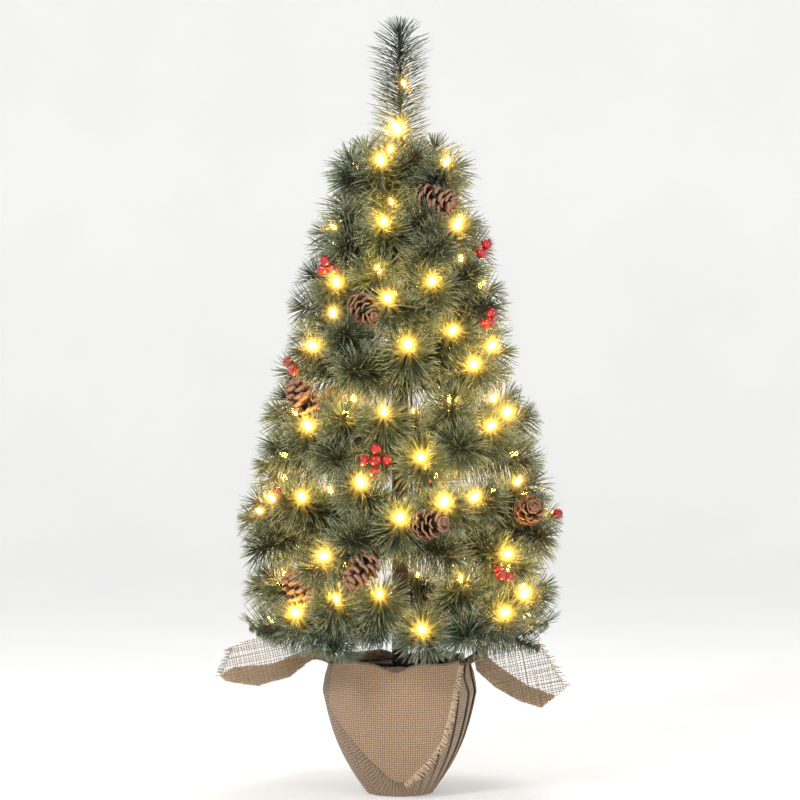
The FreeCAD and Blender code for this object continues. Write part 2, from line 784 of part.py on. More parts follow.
CELL_PITCH = 15.2
CELL_COUNT = 3
bay_start = number(f"{BOX_LOW_X} + Sizes.box_wall")
bay_end = bay_start + number("Sizes.bay_length")
cell_height = number(f"{BOX_FLOOR} + Sizes.box_wall + Sizes.cell_radius") + 0.2
cells, contacts = [], []
for i in range(CELL_COUNT):
    across = number("Sizes.box_front + Sizes.box_width / 2") + (i - 1) * CELL_PITCH
    start = FreeCAD.Vector(bay_start + 1.6, across, cell_height)
    nose = start + FreeCAD.Vector(number("Sizes.cell_length"), 0, 0)
    along_x = FreeCAD.Vector(1, 0, 0)
    cells.append(
        bound(
            "Part::Cylinder",
            f"cell_{i}",
            {"Radius": "Sizes.cell_radius", "Height": "Sizes.cell_length"},
            turned(along_x, start),
        )
    )
    spring = tapered(f"spring_{i}", "2.2", "4.2", "1", turned(along_x, nose + along_x * 0.1))
    spring.setExpression("Height", f"{bay_end - nose.x - 0.15:.3f}")
    contact = bound(
        "Part::Cylinder",
        f"contact_{i}",
        {"Radius": "Sizes.cell_radius - 2", "Height": "Sizes.contact_thickness"},
        turned(along_x, FreeCAD.Vector(bay_start + 0.1, across, cell_height)),
    )
    contacts += [spring, contact]
group("batteries", cells)
group("contact_springs", contacts)

# the switch board fills its bay from wall to wall, with the switch under the button
BOARD_DROP = 11
board_top = number("Sizes.box_top") - BOARD_DROP + 1.6
board = bound(
    "Part::Box",
    "board_plate",
    {
        "Length": BOARD_WIDE,
        "Width": "Sizes.box_width - Sizes.box_wall * 2",
        "Height": "Sizes.board_thickness",
    },
    FreeCAD.Placement(
        FreeCAD.Vector(number(BOARD_LOW_X), number("Sizes.box_front + Sizes.box_wall"),
                       board_top - number("Sizes.board_thickness")),
        FreeCAD.Rotation(),
    ),
)
SWITCH_SIDE = 8
SWITCH_HEIGHT = 4
button_x, button_y = number(BUTTON_X), number(BUTTON_Y)
switch = doc.addObject("Part::Box", "switch_case")
switch.Length = switch.Width = SWITCH_SIDE
switch.Height = SWITCH_HEIGHT
switch.Placement.Base = FreeCAD.Vector(button_x - SWITCH_SIDE / 2, button_y - SWITCH_SIDE / 2, board_top)
fused_board = doc.addObject("Part::Fuse", "board_with_switch")
fused_board.Base = board
fused_board.Tool = switch
subpart(fused_board, "circuit_board")

BUTTON_GAP = 1.5
button = bound(
    "Part::Cylinder",
    "button",
    {"Radius": "Sizes.button_radius", "Height": "Sizes.button_length"},
    FreeCAD.Placement(
        FreeCAD.Vector(button_x, button_y, board_top + SWITCH_HEIGHT + BUTTON_GAP), FreeCAD.Rotation()
    ),
)
subpart(button, "power_button")


# Everything is checked before it is written

doc.recompute()
for obj in doc.Objects:
    assert not {"Invalid", "Error"} & set(obj.State), f"{obj.Name} failed"
assert len({obj.Label for obj in subparts}) == len(subparts), "two sub-parts share a name"
for obj in subparts:
    assert not obj.Shape.isNull() and obj.Shape.isValid(), obj.Label
    assert obj.Shape.Solids, obj.Label
    obj.Shape.exportStep(f"parts/{obj.Label}.step")
print(len(subparts), "sub-parts")
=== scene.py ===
"""The looks of the pre-lit tabletop tree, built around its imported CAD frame. Lengths are in metres."""
import math

import bpy
import numpy as np
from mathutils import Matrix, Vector


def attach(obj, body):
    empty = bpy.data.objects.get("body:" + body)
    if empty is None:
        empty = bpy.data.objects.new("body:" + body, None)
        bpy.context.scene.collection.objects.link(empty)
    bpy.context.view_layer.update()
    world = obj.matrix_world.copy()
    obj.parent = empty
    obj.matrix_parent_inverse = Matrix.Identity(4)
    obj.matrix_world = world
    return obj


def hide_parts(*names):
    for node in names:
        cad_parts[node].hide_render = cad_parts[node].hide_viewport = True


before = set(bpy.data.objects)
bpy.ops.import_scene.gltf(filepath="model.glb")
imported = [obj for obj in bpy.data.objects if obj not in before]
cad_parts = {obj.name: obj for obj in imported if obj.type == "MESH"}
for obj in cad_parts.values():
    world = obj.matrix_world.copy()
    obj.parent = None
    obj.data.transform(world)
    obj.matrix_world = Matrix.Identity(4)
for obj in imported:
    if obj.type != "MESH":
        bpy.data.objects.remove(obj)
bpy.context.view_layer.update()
MM = 0.001
UP = np.array([0.0, 0.0, 1.0])
rng = np.random.default_rng(11)

# The exporter bakes through a map of this name where a mesh has one, and adds its own where it has not.
# The name of the needles' own map, in which every needle has a place of its own along it
NEEDLE_MAP = "OFBake"


# Camera, light and backdrop

EYE_DISTANCE = 3.0
PICTURE_HEIGHT = 0.941
AIM_HEIGHT = 0.4605
SENSOR = 36
WORLD_STRENGTH = 0.45
GLARE_THRESHOLD = 6.0

camera = bpy.data.objects.new("camera", bpy.data.cameras.new("camera"))
bpy.context.collection.objects.link(camera)
camera.location = (0, -EYE_DISTANCE, AIM_HEIGHT)
camera.rotation_euler = (math.radians(90), 0, 0)
camera.data.sensor_width = SENSOR
camera.data.lens = SENSOR * EYE_DISTANCE / PICTURE_HEIGHT
bpy.context.scene.camera = camera


def area_light(name, place, aim, width, power):
    """A square soft light, turned towards a point."""
    data = bpy.data.lights.new(name, "AREA")
    data.size = width
    data.energy = power
    lamp = bpy.data.objects.new(name, data)
    lamp.location = place
    lamp.rotation_euler = (Vector(aim) - Vector(place)).to_track_quat("-Z", "Y").to_euler()
    bpy.context.collection.objects.link(lamp)


area_light("key", (-1.3, -2.3, 2.2), (0, 0, 0.45), 0.6, 40)
area_light("fill", (1.7, -2.0, 1.0), (0, 0, 0.4), 0.9, 15)
area_light("top", (0.2, 0.5, 2.4), (0, 0, 0.4), 0.8, 15)

world = bpy.data.worlds.new("studio")
world.use_nodes = True
world.node_tree.nodes["Background"].inputs["Color"].default_value = (1, 1, 1, 1)
world.node_tree.nodes["Background"].inputs["Strength"].default_value = WORLD_STRENGTH
bpy.context.scene.world = world
bpy.context.scene.view_settings.view_transform = "Standard"


def lens_glare():
    """The lens's own response to the small lit bulbs: a soft glow round each, with fine star rays."""
    scene = bpy.context.scene
    scene.use_nodes = True
    tree = scene.node_tree
    tree.nodes.clear()
    picture = tree.nodes.new("CompositorNodeRLayers").outputs["Image"]
    for kind, values in (
        ("STREAKS", {"Strength": 0.6, "Streaks": 11, "Iterations": 3, "Fade": 0.78}),
        ("FOG_GLOW", {"Strength": 0.85, "Size": 0.04}),
    ):
        glare = tree.nodes.new("CompositorNodeGlare")
        glare.glare_type = kind
        glare.quality = "HIGH"
        glare.inputs["Threshold"].default_value = GLARE_THRESHOLD
        for socket, value in values.items():
            glare.inputs[socket].default_value = value
        tree.links.new(picture, glare.inputs["Image"])
        picture = glare.outputs["Image"]
    tree.links.new(picture, tree.nodes.new("CompositorNodeComposite").inputs["Image"])


lens_glare()


# Node materials


class Material:
    """A material's node tree with one Principled shader, and short ways to add to it."""

    def __init__(self, name, **sockets):
        self.data = bpy.data.materials.new(name)
        self.data.use_nodes = True
        self.tree = self.data.node_tree
        self.shader = self.tree.nodes["Principled BSDF"]
        for socket, value in sockets.items():
            self.shader.inputs[socket.replace("_", " ")].default_value = value

    def node(self, kind, inputs=(), **settings):
        made = self.tree.nodes.new("ShaderNode" + kind)
        for key, value in settings.items():
            setattr(made, key, value)
        for socket, value in dict(inputs).items():
            if isinstance(value, bpy.types.NodeSocket):
                self.tree.links.new(value, made.inputs[socket])
            else:
                made.inputs[socket].default_value = value
        return made

    def place(self):
        """Where a point is on the object, in metres."""
        return self.node("TexCoord").outputs["Object"]

    def noise(self, scale, detail=2, vector=None, rough=0.5):
        inputs = {"Vector": vector or self.place(), "Scale": scale, "Detail": detail, "Roughness": rough}
        return self.node("TexNoise", inputs).outputs["Fac"]

    def ramp(self, factor, *stops):
        """Colours along a factor. Each stop is (position, (r, g, b))."""
        made = self.node("ValToRGB", {"Fac": factor})
        bar = made.color_ramp
        while len(bar.elements) < len(stops):
            bar.elements.new(0.5)
        for element, (position, colour) in zip(bar.elements, stops):
            element.position = position
            element.color = (*colour, 1)
        return made.outputs["Color"]

    def blend(self, factor, first, second, how="MIX"):
        made = self.node("Mix", data_type="RGBA", blend_type=how)
        for index, value in ((0, factor), (6, first), (7, second)):
            if isinstance(value, bpy.types.NodeSocket):
                self.tree.links.new(value, made.inputs[index])
            elif index:
                made.inputs[index].default_value = (*value, 1)
            else:
                made.inputs[index].default_value = value
        return made.outputs[2]

    def maths(self, operation, first, second=0.0):
        return self.node("Math", {0: first, 1: second}, operation=operation).outputs[0]

    def feed(self, socket, value):
        self.tree.links.new(value, self.shader.inputs[socket])

    def bump(self, height, distance, strength=1.0):
        inputs = {"Height": height, "Distance": distance, "Strength": strength}
        self.feed("Normal", self.node("Bump", inputs).outputs["Normal"])


def speckled(name, low, high, scale, rough=0.5, bump=0.0, **sockets):
    """A moulded or painted surface: two close colours in soft patches over a fine grain."""
    made = Material(name, Roughness=rough, **sockets)
    made.feed("Base Color", made.ramp(made.noise(scale, 4), (0.35, low), (0.65, high)))
    if bump:
        made.bump(made.noise(scale * 8, 3), bump, 0.6)
    return made


def needle_material():
    """PVC needles: darkened towards the wire by painted shade, greyer green along, with a frosted tip. A
    row of the map is one of many shades, so that neighbouring needles differ."""
    made = Material("needle", Roughness=0.55)
    place = made.node("UVMap", uv_map=NEEDLE_MAP).outputs["UV"]
    parts = made.node("SeparateXYZ", {"Vector": place})
    along, shade = parts.outputs["X"], parts.outputs["Y"]
    # Both ramps fall to near black towards the wire: painted shade inside the foliage
    dark = made.ramp(
        along, (0.0, (0.006, 0.011, 0.006)), (0.35, (0.018, 0.036, 0.02)), (0.64, (0.05, 0.085, 0.052)),
        (0.84, (0.19, 0.25, 0.17)), (1.0, (0.56, 0.62, 0.47)),
    )
    pale = made.ramp(
        along, (0.0, (0.01, 0.016, 0.008)), (0.35, (0.04, 0.066, 0.03)), (0.7, (0.13, 0.175, 0.09)),
        (1.0, (0.66, 0.7, 0.5)),
    )
    rows = made.node("CombineXYZ", {"X": shade, "Y": 0.0, "Z": 0.0}).outputs[0]
    mottle = made.noise(61.0, 3, rows, 0.7)
    share = made.ramp(mottle, (0.42, (0, 0, 0)), (0.62, (1, 1, 1)))
    made.feed("Base Color", made.blend(share, dark, pale))
    return made.data


def bud_material():
    """Brown paper buds at the twig ends."""
    made = Material("bud", Roughness=0.8)
    colour = made.ramp(made.noise(1400, 3), (0.3, (0.16, 0.075, 0.035)), (0.7, (0.34, 0.2, 0.11)))
    made.feed("Base Color", colour)
    return made.data


BULB_STRENGTH = 60.0


def bulb_material():
    """A lit micro bulb: warm yellow, a little uneven over its glass."""
    made = Material("bulb", Roughness=0.15)
    patches = made.noise(500, 2)
    glow = made.ramp(patches, (0.3, (1.0, 0.55, 0.06)), (0.7, (1.0, 0.62, 0.1)))
    made.feed("Emission Color", glow)
    made.feed("Base Color", made.ramp(patches, (0.3, (0.9, 0.7, 0.35)), (0.7, (1.0, 0.8, 0.45))))
    made.shader.inputs["Emission Strength"].default_value = BULB_STRENGTH
    return made.data


def scale_material():
    """Pine cone scales: chestnut, darkened in the creases by painted shade, worn to tan on their outer
    edges.
    """
    made = Material("cone_scale", Roughness=0.62)
    place = made.node("UVMap", uv_map="scale").outputs["UV"]
    edge = made.node("SeparateXYZ", {"Vector": place}).outputs["X"]
    # Dark towards the creases is painted shade; the tan outer edges are wear
    crease_shade_and_wear = made.maths("ADD", edge, made.maths("MULTIPLY", made.noise(300, 4), 0.45))
    colour = made.ramp(
        crease_shade_and_wear, (0.3, (0.012, 0.005, 0.003)), (0.72, (0.06, 0.02, 0.011)), (0.95, (0.15, 0.058, 0.03)),
        (1.0, (0.36, 0.19, 0.11)),
    )
    made.feed("Base Color", colour)
    made.bump(made.noise(900, 4), 0.0008)
    return made.data


def berry_material():
    """Lacquered foam: a deep red with slightly darker patches under a clear coat."""
    made = Material("berry", Roughness=0.22)
    made.shader.inputs["Coat Weight"].default_value = 0.7
    made.shader.inputs["Coat Roughness"].default_value = 0.06
    colour = made.ramp(made.noise(120, 3), (0.3, (0.3, 0.003, 0.006)), (0.7, (0.46, 0.006, 0.012)))
    made.feed("Base Color", colour)
    made.bump(made.noise(420, 2), 0.0002)
    return made.data


THREAD_PITCH = 1.9 * MM


def burlap_material(name, tint):
    """Plain-woven jute. The map runs along the two sets of threads, one unit to a thread."""
    made = Material(name, Roughness=0.92)
    made.shader.inputs["Sheen Weight"].default_value = 0.25
    place = made.node("UVMap", uv_map="threads").outputs["UV"]
    wander = made.node("TexNoise", {"Vector": place, "Scale": 0.35, "Detail": 3.0}).outputs["Color"]
    bent = made.node("VectorMath", {0: place, 1: wander}, operation="ADD").outputs[0]
    parts = made.node("SeparateXYZ", {"Vector": bent})
    across, along = parts.outputs["X"], parts.outputs["Y"]
    ridges = []
    for own, other in ((across, along), (along, across)):
        round_top = made.maths("ABSOLUTE", made.maths("SINE", made.maths("MULTIPLY", own, math.pi)))
        over = made.maths("SINE", made.maths("MULTIPLY", other, math.pi))
        flip = made.maths("SINE", made.maths("MULTIPLY", made.maths("FLOOR", own), math.pi))
        side = made.maths("COSINE", made.maths("MULTIPLY", made.maths("FLOOR", own), math.pi))
        lift = made.maths("MULTIPLY", over, made.maths("ADD", side, flip))
        height = made.maths("ADD", made.maths("MULTIPLY", lift, 0.35), 0.65)
        ridges.append(made.maths("MULTIPLY", round_top, height))
    weave = made.maths("MAXIMUM", ridges[0], ridges[1])
    # The colour follows the weave's height: painted shade in the gaps and where a thread passes under,
    # and a painted highlight on the thread crowns
    low, middle, high = (tuple(c * s for c in tint) for s in (0.3, 0.82, 1.2))
    yarn = made.noise(1.3, 4, place, 0.65)
    base = made.ramp(weave, (0.25, low), (0.62, middle), (0.95, high))
    shade = made.ramp(yarn, (0.3, (0.72, 0.7, 0.68)), (0.7, (1.12, 1.1, 1.08)))
    made.feed("Base Color", made.blend(1.0, base, shade, "MULTIPLY"))
    made.bump(weave, 0.0009)
    return made.data


LAPS_PER_M = 90


def tape_material():
    """Brown tape wound round the trunk in a shallow spiral."""
    made = Material("trunk_tape", Roughness=0.5)
    parts = made.node("SeparateXYZ", {"Vector": made.place()})
    turn = made.maths("ARCTAN2", parts.outputs["Y"], parts.outputs["X"])
    climb = made.maths("MULTIPLY", parts.outputs["Z"], LAPS_PER_M)
    lap = made.maths("FRACT", made.maths("ADD", climb, made.maths("DIVIDE", turn, math.tau)))
    fleck = made.noise(260, 4)
    # Each lap is darker towards its lower edge: painted shade of the steps between laps, over a random
    # fleck
    shade = made.maths("ADD", made.maths("MULTIPLY", lap, 0.35), fleck)
    made.feed("Base Color", made.ramp(shade, (0.4, (0.018, 0.011, 0.007)), (0.9, (0.06, 0.036, 0.022))))
    made.bump(made.maths("ADD", lap, made.maths("MULTIPLY", fleck, 0.4)), 0.0006)
    return made.data


def stone_material():
    """Rough grey cement, for the pot and its weight."""
    return speckled("cement", (0.36, 0.35, 0.33), (0.56, 0.55, 0.52), 160, 0.9, 0.001).data


NEEDLE = needle_material()
WIRE = speckled("stem_wire", (0.035, 0.024, 0.014), (0.075, 0.052, 0.03), 900).data
BUD = bud_material()
BULB = bulb_material()
SCALE = scale_material()
BERRY = berry_material()
BURLAP = burlap_material("burlap_weave", (0.6, 0.4, 0.25))
# A darker copy of the same burlap, for the gathered part round the pot: painted shade
BURLAP_SHADED = burlap_material("burlap_weave_painted_shade", (0.45, 0.31, 0.2))
LEAD = speckled("lead_skin", (0.012, 0.035, 0.016), (0.025, 0.06, 0.03), 500, 0.4).data
TAPE = tape_material()


# Meshes


def piece(name, points, faces, materials, body, replaced=(), slots=None):
    """A mesh object that rides on a body. slots gives each face's material, and the first is the rule."""
    mesh = bpy.data.meshes.new(name)
    mesh.from_pydata(np.asarray(points).tolist(), [], faces)
    for material in materials:
        mesh.materials.append(material)
    if slots is not None:
        mesh.polygons.foreach_set("material_index", np.asarray(slots, np.int32))
    mesh.polygons.foreach_set("use_smooth", [True] * len(mesh.polygons))
    mesh.update()
    made = bpy.data.objects.new(name, mesh)
    bpy.context.collection.objects.link(made)
    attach(made, body)
    if replaced:
        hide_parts(*replaced)
    return made


def write_map(made, name, corner_values):
    """Gives a mesh a map, from one (u, v) for each corner of each face."""
    layer = made.data.uv_layers.new(name=name)
    layer.data.foreach_set("uv", np.asarray(corner_values, np.float32).ravel())


def unit(v):
    """Vectors of length one."""
    return v / np.linalg.norm(v, axis=-1, keepdims=True)


def frames_across(ways):
    """Two directions square to each of some unit vectors."""
    helper = np.where(np.abs(ways[:, 2:3]) < 0.9, UP, np.array([1.0, 0.0, 0.0]))
    side = unit(np.cross(ways, helper))
    return side, np.cross(side, ways)


def islands(node):
    """The points of each separate solid of a CAD node."""
    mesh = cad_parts[node].data
    points = np.empty(len(mesh.vertices) * 3, np.float32)
    mesh.vertices.foreach_get("co", points)
    points = points.reshape(-1, 3).astype(float)
    welded = np.unique(np.round(points, 6), axis=0, return_inverse=True)[1].ravel()
    parent = list(range(welded.max() + 1))

    def root(i):
        while parent[i] != i:
            parent[i] = parent[parent[i]]
            i = parent[i]
        return i

    for face in mesh.polygons:
        corners = [welded[i] for i in face.vertices]
        for other in corners[1:]:
            parent[root(corners[0])] = root(other)
    groups = {}
    for i, w in enumerate(welded):
        groups.setdefault(root(w), []).append(i)
    return [points[g] for g in groups.values()]


END_DEPTH = 0.4 * MM
SAME_RADIUS = 0.3 * MM


def rod(points):
    """A cylinder's or cone's two ends as (place, radius), the wide or the inner one first."""
    middle = points.mean(0)
    way = np.linalg.svd(points - middle, full_matrices=False)[2][0]
    heights = (points - middle) @ way
    ends = []
    for end in (heights.min(), heights.max()):
        ring = points[np.abs(heights - end) < END_DEPTH]
        place = middle + way * end + (ring.mean(0) - middle) @ (np.eye(3) - np.outer(way, way))
        ends.append((place, np.linalg.norm(ring - place, axis=1).max()))
    wide = ends[1][1] - ends[0][1]
    inner = np.hypot(*ends[0][0][:2]) - np.hypot(*ends[1][0][:2])
    if wide > SAME_RADIUS or (abs(wide) <= SAME_RADIUS and inner > 0):
        ends.reverse()
    return ends


def tube(path, radii, sides):
    """A closed tube along some points: its points and its faces."""
    path = np.asarray(path, float)
    ways = unit(np.gradient(path, axis=0))
    side = np.cross(ways[0], UP if abs(ways[0][2]) < 0.9 else [1, 0, 0])
    rings = []
    for place, way, radius in zip(path, ways, np.broadcast_to(radii, len(path))):
        side = unit(side - way * (side @ way))
        other = np.cross(way, side)
        turns = np.arange(sides) * math.tau / sides
        rings.append(place + radius * (np.outer(np.cos(turns), side) + np.outer(np.sin(turns), other)))
    faces = []
    for ring in range(len(path) - 1):
        for k in range(sides):
            low, nxt = ring * sides, (k + 1) % sides
            faces.append((low + k, low + nxt, low + sides + nxt, low + sides + k))
    faces.append(tuple(reversed(range(sides))))
    last = (len(path) - 1) * sides
    faces.append(tuple(last + k for k in range(sides)))
    return np.concatenate(rings), faces


class Bag:
    """Collects points and faces for one piece, with a material index for each face."""

    def __init__(self):
        self.points, self.faces, self.slots, self.count = [], [], [], 0

    def add(self, points, faces, slot=0):
        self.points.append(np.asarray(points, float))
        self.faces += [tuple(i + self.count for i in face) for face in faces]
        self.slots += [slot] * len(faces)
        self.count += len(points)

    def tube(self, path, radii, sides, slot=0):
        self.add(*tube(path, radii, sides), slot)

    def piece(self, name, materials, body, slot, replaced=()):
        points = np.concatenate(self.points)
        return piece(name, points, self.faces, materials, body, replaced, self.slots)


# Needles

NEEDLES_PER_M = 3700
NEEDLE_LENGTH = 40.5 * MM
NEEDLE_RADIUS = 0.45 * MM
FOLIAGE_REACH = 0.1935
LOW_RADII = (0.08, 0.13, 0.168, 0.19)
LOW_HEIGHTS = (0.151, 0.160, 0.177, 0.206)
SHADES = 64
NEEDLE_TURN = 2.39996
EXTRA_END_NEEDLES = 26
END_SHARE = 0.1
NEEDLE_LEAN = 70
END_LEAN = 52
NEEDLE_SIDES = 3
NEEDLE_STEPS = (0.0, 0.5, 0.82)
NEEDLE_WIDTHS = (1.0, 1.0, 0.8)
NEEDLE_POINTS = len(NEEDLE_STEPS) * NEEDLE_SIDES + 1
NEEDLE_SWAY = 0.035
NEEDLE_SAG = 0.03


def needle_field(core):
    """Origins, directions and lengths of the needles on one twig's core."""
    (root, _), (tip, _) = core
    way, length = unit(tip - root), np.linalg.norm(tip - root)
    count = int(length * NEEDLES_PER_M) + EXTRA_END_NEEDLES
    share = np.clip((np.arange(count) + rng.random(count)) / (count - EXTRA_END_NEEDLES), 0, 1)
    turn = np.arange(count) * NEEDLE_TURN + rng.normal(0, 0.25, count)
    end = np.clip((share - (1 - END_SHARE)) / END_SHARE, 0, 1)
    forward = end * END_LEAN * rng.random(count) ** 0.8
    lean = np.radians(NEEDLE_LEAN - 8 * share - forward + rng.normal(0, 6, count))
    side, other = frames_across(np.tile(way, (count, 1)))
    around = side * np.cos(turn)[:, None] + other * np.sin(turn)[:, None]
    ways = unit(around * np.sin(lean)[:, None] + way * np.cos(lean)[:, None])
    origins = root + way * (length * share)[:, None]
    lengths = NEEDLE_LENGTH * rng.normal(1, 0.07, count) * (1 - 0.42 * (np.cos(lean) * end))
    return origins, ways, lengths


def kept_inside(origins, ways, lengths):
    """Shortens the needles that would leave the foliage's outline."""
    tips = origins + ways * lengths[:, None]
    out = np.hypot(tips[:, 0], tips[:, 1])
    start = np.hypot(origins[:, 0], origins[:, 1])
    run = np.maximum(out - start, 1e-6)
    share = np.where(out > FOLIAGE_REACH, (FOLIAGE_REACH - start) / run, 1.0)
    low = np.interp(out, LOW_RADII, LOW_HEIGHTS)
    fall = np.maximum(origins[:, 2] - tips[:, 2], 1e-6)
    down = np.where(tips[:, 2] < low, (origins[:, 2] - low) / fall, 1.0)
    return lengths * np.clip(np.minimum(share, down), 0.3, 1)


LAMP_GAP = 4.6 * MM
LAMP_VIEW = 48 * MM
LONGEST_LAMP = 20 * MM


def lamp_lines():
    """Each lamp's middle, and the way out from the trunk that its needles are parted along."""
    lines = []
    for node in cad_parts:
        if "_lights" not in node:
            continue
        for points in islands(node):
            (base, _), (end, _) = rod(points)
            if np.linalg.norm(end - base) < LONGEST_LAMP:
                middle = (base + end) / 2
                out = unit(middle * [1, 1, 0] + UP * 0.012)
                lines.append((middle - out * 6 * MM, out))
    return lines


LAMP_LINES = lamp_lines()


def parted(origins, tips):
    """Which needles stay: the ones that would cover a lamp are pushed aside by it in the real tree."""
    stay = np.ones(len(origins), bool)
    for place, out in LAMP_LINES:
        for share in (0.25, 0.45, 0.6, 0.75, 0.88, 1.0):
            offset = origins * (1 - share) + tips * share - place
            reach = offset @ out
            away = np.linalg.norm(offset - reach[:, None] * out, axis=1)
            stay &= ~((away < LAMP_GAP) & (reach > 0) & (reach < LAMP_VIEW))
    return stay


def needles(name, cores, body, replaced):
    """A piece with every needle of some cores: thin three-sided blades, a little bent, with a point."""
    fields = [needle_field(core) for core in cores]
    origins, ways = (np.concatenate([f[i] for f in fields]) for i in (0, 1))
    lengths = kept_inside(origins, ways, np.concatenate([f[2] for f in fields]))
    stay = parted(origins, origins + ways * lengths[:, None])
    origins, ways, lengths = origins[stay], ways[stay], lengths[stay]
    count = len(origins)
    side, other = frames_across(ways)
    bend = side * rng.normal(0, NEEDLE_SWAY, count)[:, None]
    bend = bend + other * rng.normal(0, NEEDLE_SWAY, count)[:, None]
    bend[:, 2] -= NEEDLE_SAG
    points = np.empty((count, NEEDLE_POINTS, 3))
    for ring, (step, wide) in enumerate(zip(NEEDLE_STEPS, NEEDLE_WIDTHS)):
        middle = origins + (ways * step + bend * step * step) * lengths[:, None]
        for corner in range(NEEDLE_SIDES):
            turn = corner * math.tau / NEEDLE_SIDES
            offset = side * math.cos(turn) + other * math.sin(turn)
            points[:, ring * NEEDLE_SIDES + corner] = middle + offset * (NEEDLE_RADIUS * wide)
    points[:, -1] = origins + (ways + bend) * lengths[:, None]
    pattern = []
    for ring in (0, NEEDLE_SIDES):
        for k in range(NEEDLE_SIDES):
            after = (k + 1) % NEEDLE_SIDES
            low, high = ring, ring + NEEDLE_SIDES
            pattern.append((low + k, low + after, high + after, high + k))
    pattern += [(6 + k, 6 + (k + 1) % 3, 9) for k in range(3)] + [(2, 1, 0)]
    starts = np.arange(count) * NEEDLE_POINTS
    faces = [tuple(s + i for i in face) for s in starts.tolist() for face in pattern]
    made = piece(name, points.reshape(-1, 3), faces, [NEEDLE], body, replaced)
    along = np.repeat((*NEEDLE_STEPS, 1.0), (3, 3, 3, 1))
    corner_along = np.concatenate([along[list(face)] for face in pattern])
    rows = (rng.integers(0, SHADES, count) + 0.5) / SHADES
    values = np.stack([np.tile(corner_along, count), np.repeat(rows, len(corner_along))], axis=1)
    write_map(made, NEEDLE_MAP, values)


# Twisted wire stems with a bud at each tip

WIRE_TURN = 7 * MM
STRAND_RADIUS = 0.75 * MM
BUD_LENGTH = 6 * MM
THINNEST_CORE = 2.4 * MM
THICKEST_WIRE = 1.75 * MM
SHORTEST_STEM = 9 * MM


def twisted(bag, start, end):
    """Two strands twisted about each other from start to end."""
    length = np.linalg.norm(end - start)
    way = unit(end - start)
    side, other = (v[0] for v in frames_across(way[None]))
    steps = max(int(length / WIRE_TURN * 6), 3)
    share = np.linspace(0, 1, steps + 1)
    for strand in (0, math.pi):
        turn = share * length / WIRE_TURN * math.tau + strand
        path = start + np.outer(share * length, way)
        path = path + STRAND_RADIUS * (np.outer(np.cos(turn), side) + np.outer(np.sin(turn), other))
        bag.tube(path, STRAND_RADIUS, 4)


def stems(name, rods, body):
    """The twisted stem of each rod, with a brown bud on the outer end of the brush cores."""
    bag = Bag()
    for (start, wide), (end, _) in rods:
        twisted(bag, start, end)
        if wide > THINNEST_CORE:
            way = unit(end - start)
            share = np.linspace(0, 1, 5)
            radii = np.array([1.2, 2.0, 1.9, 1.3, 0.4]) * MM
            bag.tube(end + np.outer(share * BUD_LENGTH, way), radii, 6, 1)
    bag.piece(name, [WIRE, BUD], body, "needle")


# Lamps: a husk and a lit bulb on a thin lead

BULB_PROFILE = [(0.0, 1.7), (1.6, 2.6), (4.8, 2.9), (7.8, 2.3), (9.6, 1.1), (10.4, 0.2)]
HUSK_PROFILE = [(-7.0, 0.9), (-6.2, 1.7), (-1.6, 1.9), (-1.2, 2.4), (0.6, 2.5), (0.9, 1.9)]
GLOW_RADIUS = 5 * MM
GLOW_POWER = 0.2
GLOW_COLOUR = (1.0, 0.6, 0.1)
HUSK_LENGTH = 7 * MM
LEAD_BOW = 14 * MM
LEAD_RADIUS = 0.55 * MM


def turned_profile(bag, place, way, profile, sides, slot):
    """A turned shape along way. Its profile is (distance, radius) pairs in millimetres."""
    path = np.array([place + way * (d * MM) for d, _ in profile])
    bag.tube(path, np.array([r for _, r in profile]) * MM, sides, slot)


def lamps(name, node, body, cores):
    """A node's lamps, each wired to the nearest core, and a small warm light in front of each."""
    bag = Bag()
    glows = []
    for points in islands(node):
        (base, _), (end, _) = rod(points)
        way = unit(end - base)
        if np.linalg.norm(end - base) > LONGEST_LAMP:
            twisted(bag, base, end)
            continue
        turned_profile(bag, base, way, BULB_PROFILE, 10, 1)
        turned_profile(bag, base, way, HUSK_PROFILE, 8, 0)
        back = base - way * HUSK_LENGTH
        feet = [core[0][0] + (core[1][0] - core[0][0]) * s for core in cores for s in (0.3, 0.5, 0.7)]
        foot = min(feet, key=lambda p: np.linalg.norm(p - back))
        share = np.linspace(0, 1, 7)[:, None]
        control = back - way * LEAD_BOW
        path = back * (1 - share) ** 2 + control * 2 * share * (1 - share) + foot * share**2
        bag.tube(path, LEAD_RADIUS, 5, 0)
        glows.append(base + way * 6 * MM)
    made = bag.piece(name, [LEAD, BULB], body, "lamp", [node])
    for i, place in enumerate(glows):
        data = bpy.data.lights.new(f"{name}_glow_{i}", "POINT")
        data.energy = GLOW_POWER
        data.color = GLOW_COLOUR
        data.shadow_soft_size = GLOW_RADIUS
        light = bpy.data.objects.new(data.name, data)
        bpy.context.collection.objects.link(light)
        light.parent = made
        light.location = place


# Pine cones and berries

CONE_SCALES = 40
GOLDEN_TURN = math.radians(137.508)
SCALE_OUTLINE = [(0.0, 0.30), (0.45, 0.62), (0.78, 1.0), (0.93, 0.80), (1.0, 0.25)]


def rotation_to(way):
    """Columns: two directions square to way, then way."""
    side, other = (v[0] for v in frames_across(way[None]))
    return np.column_stack([side, other, way])


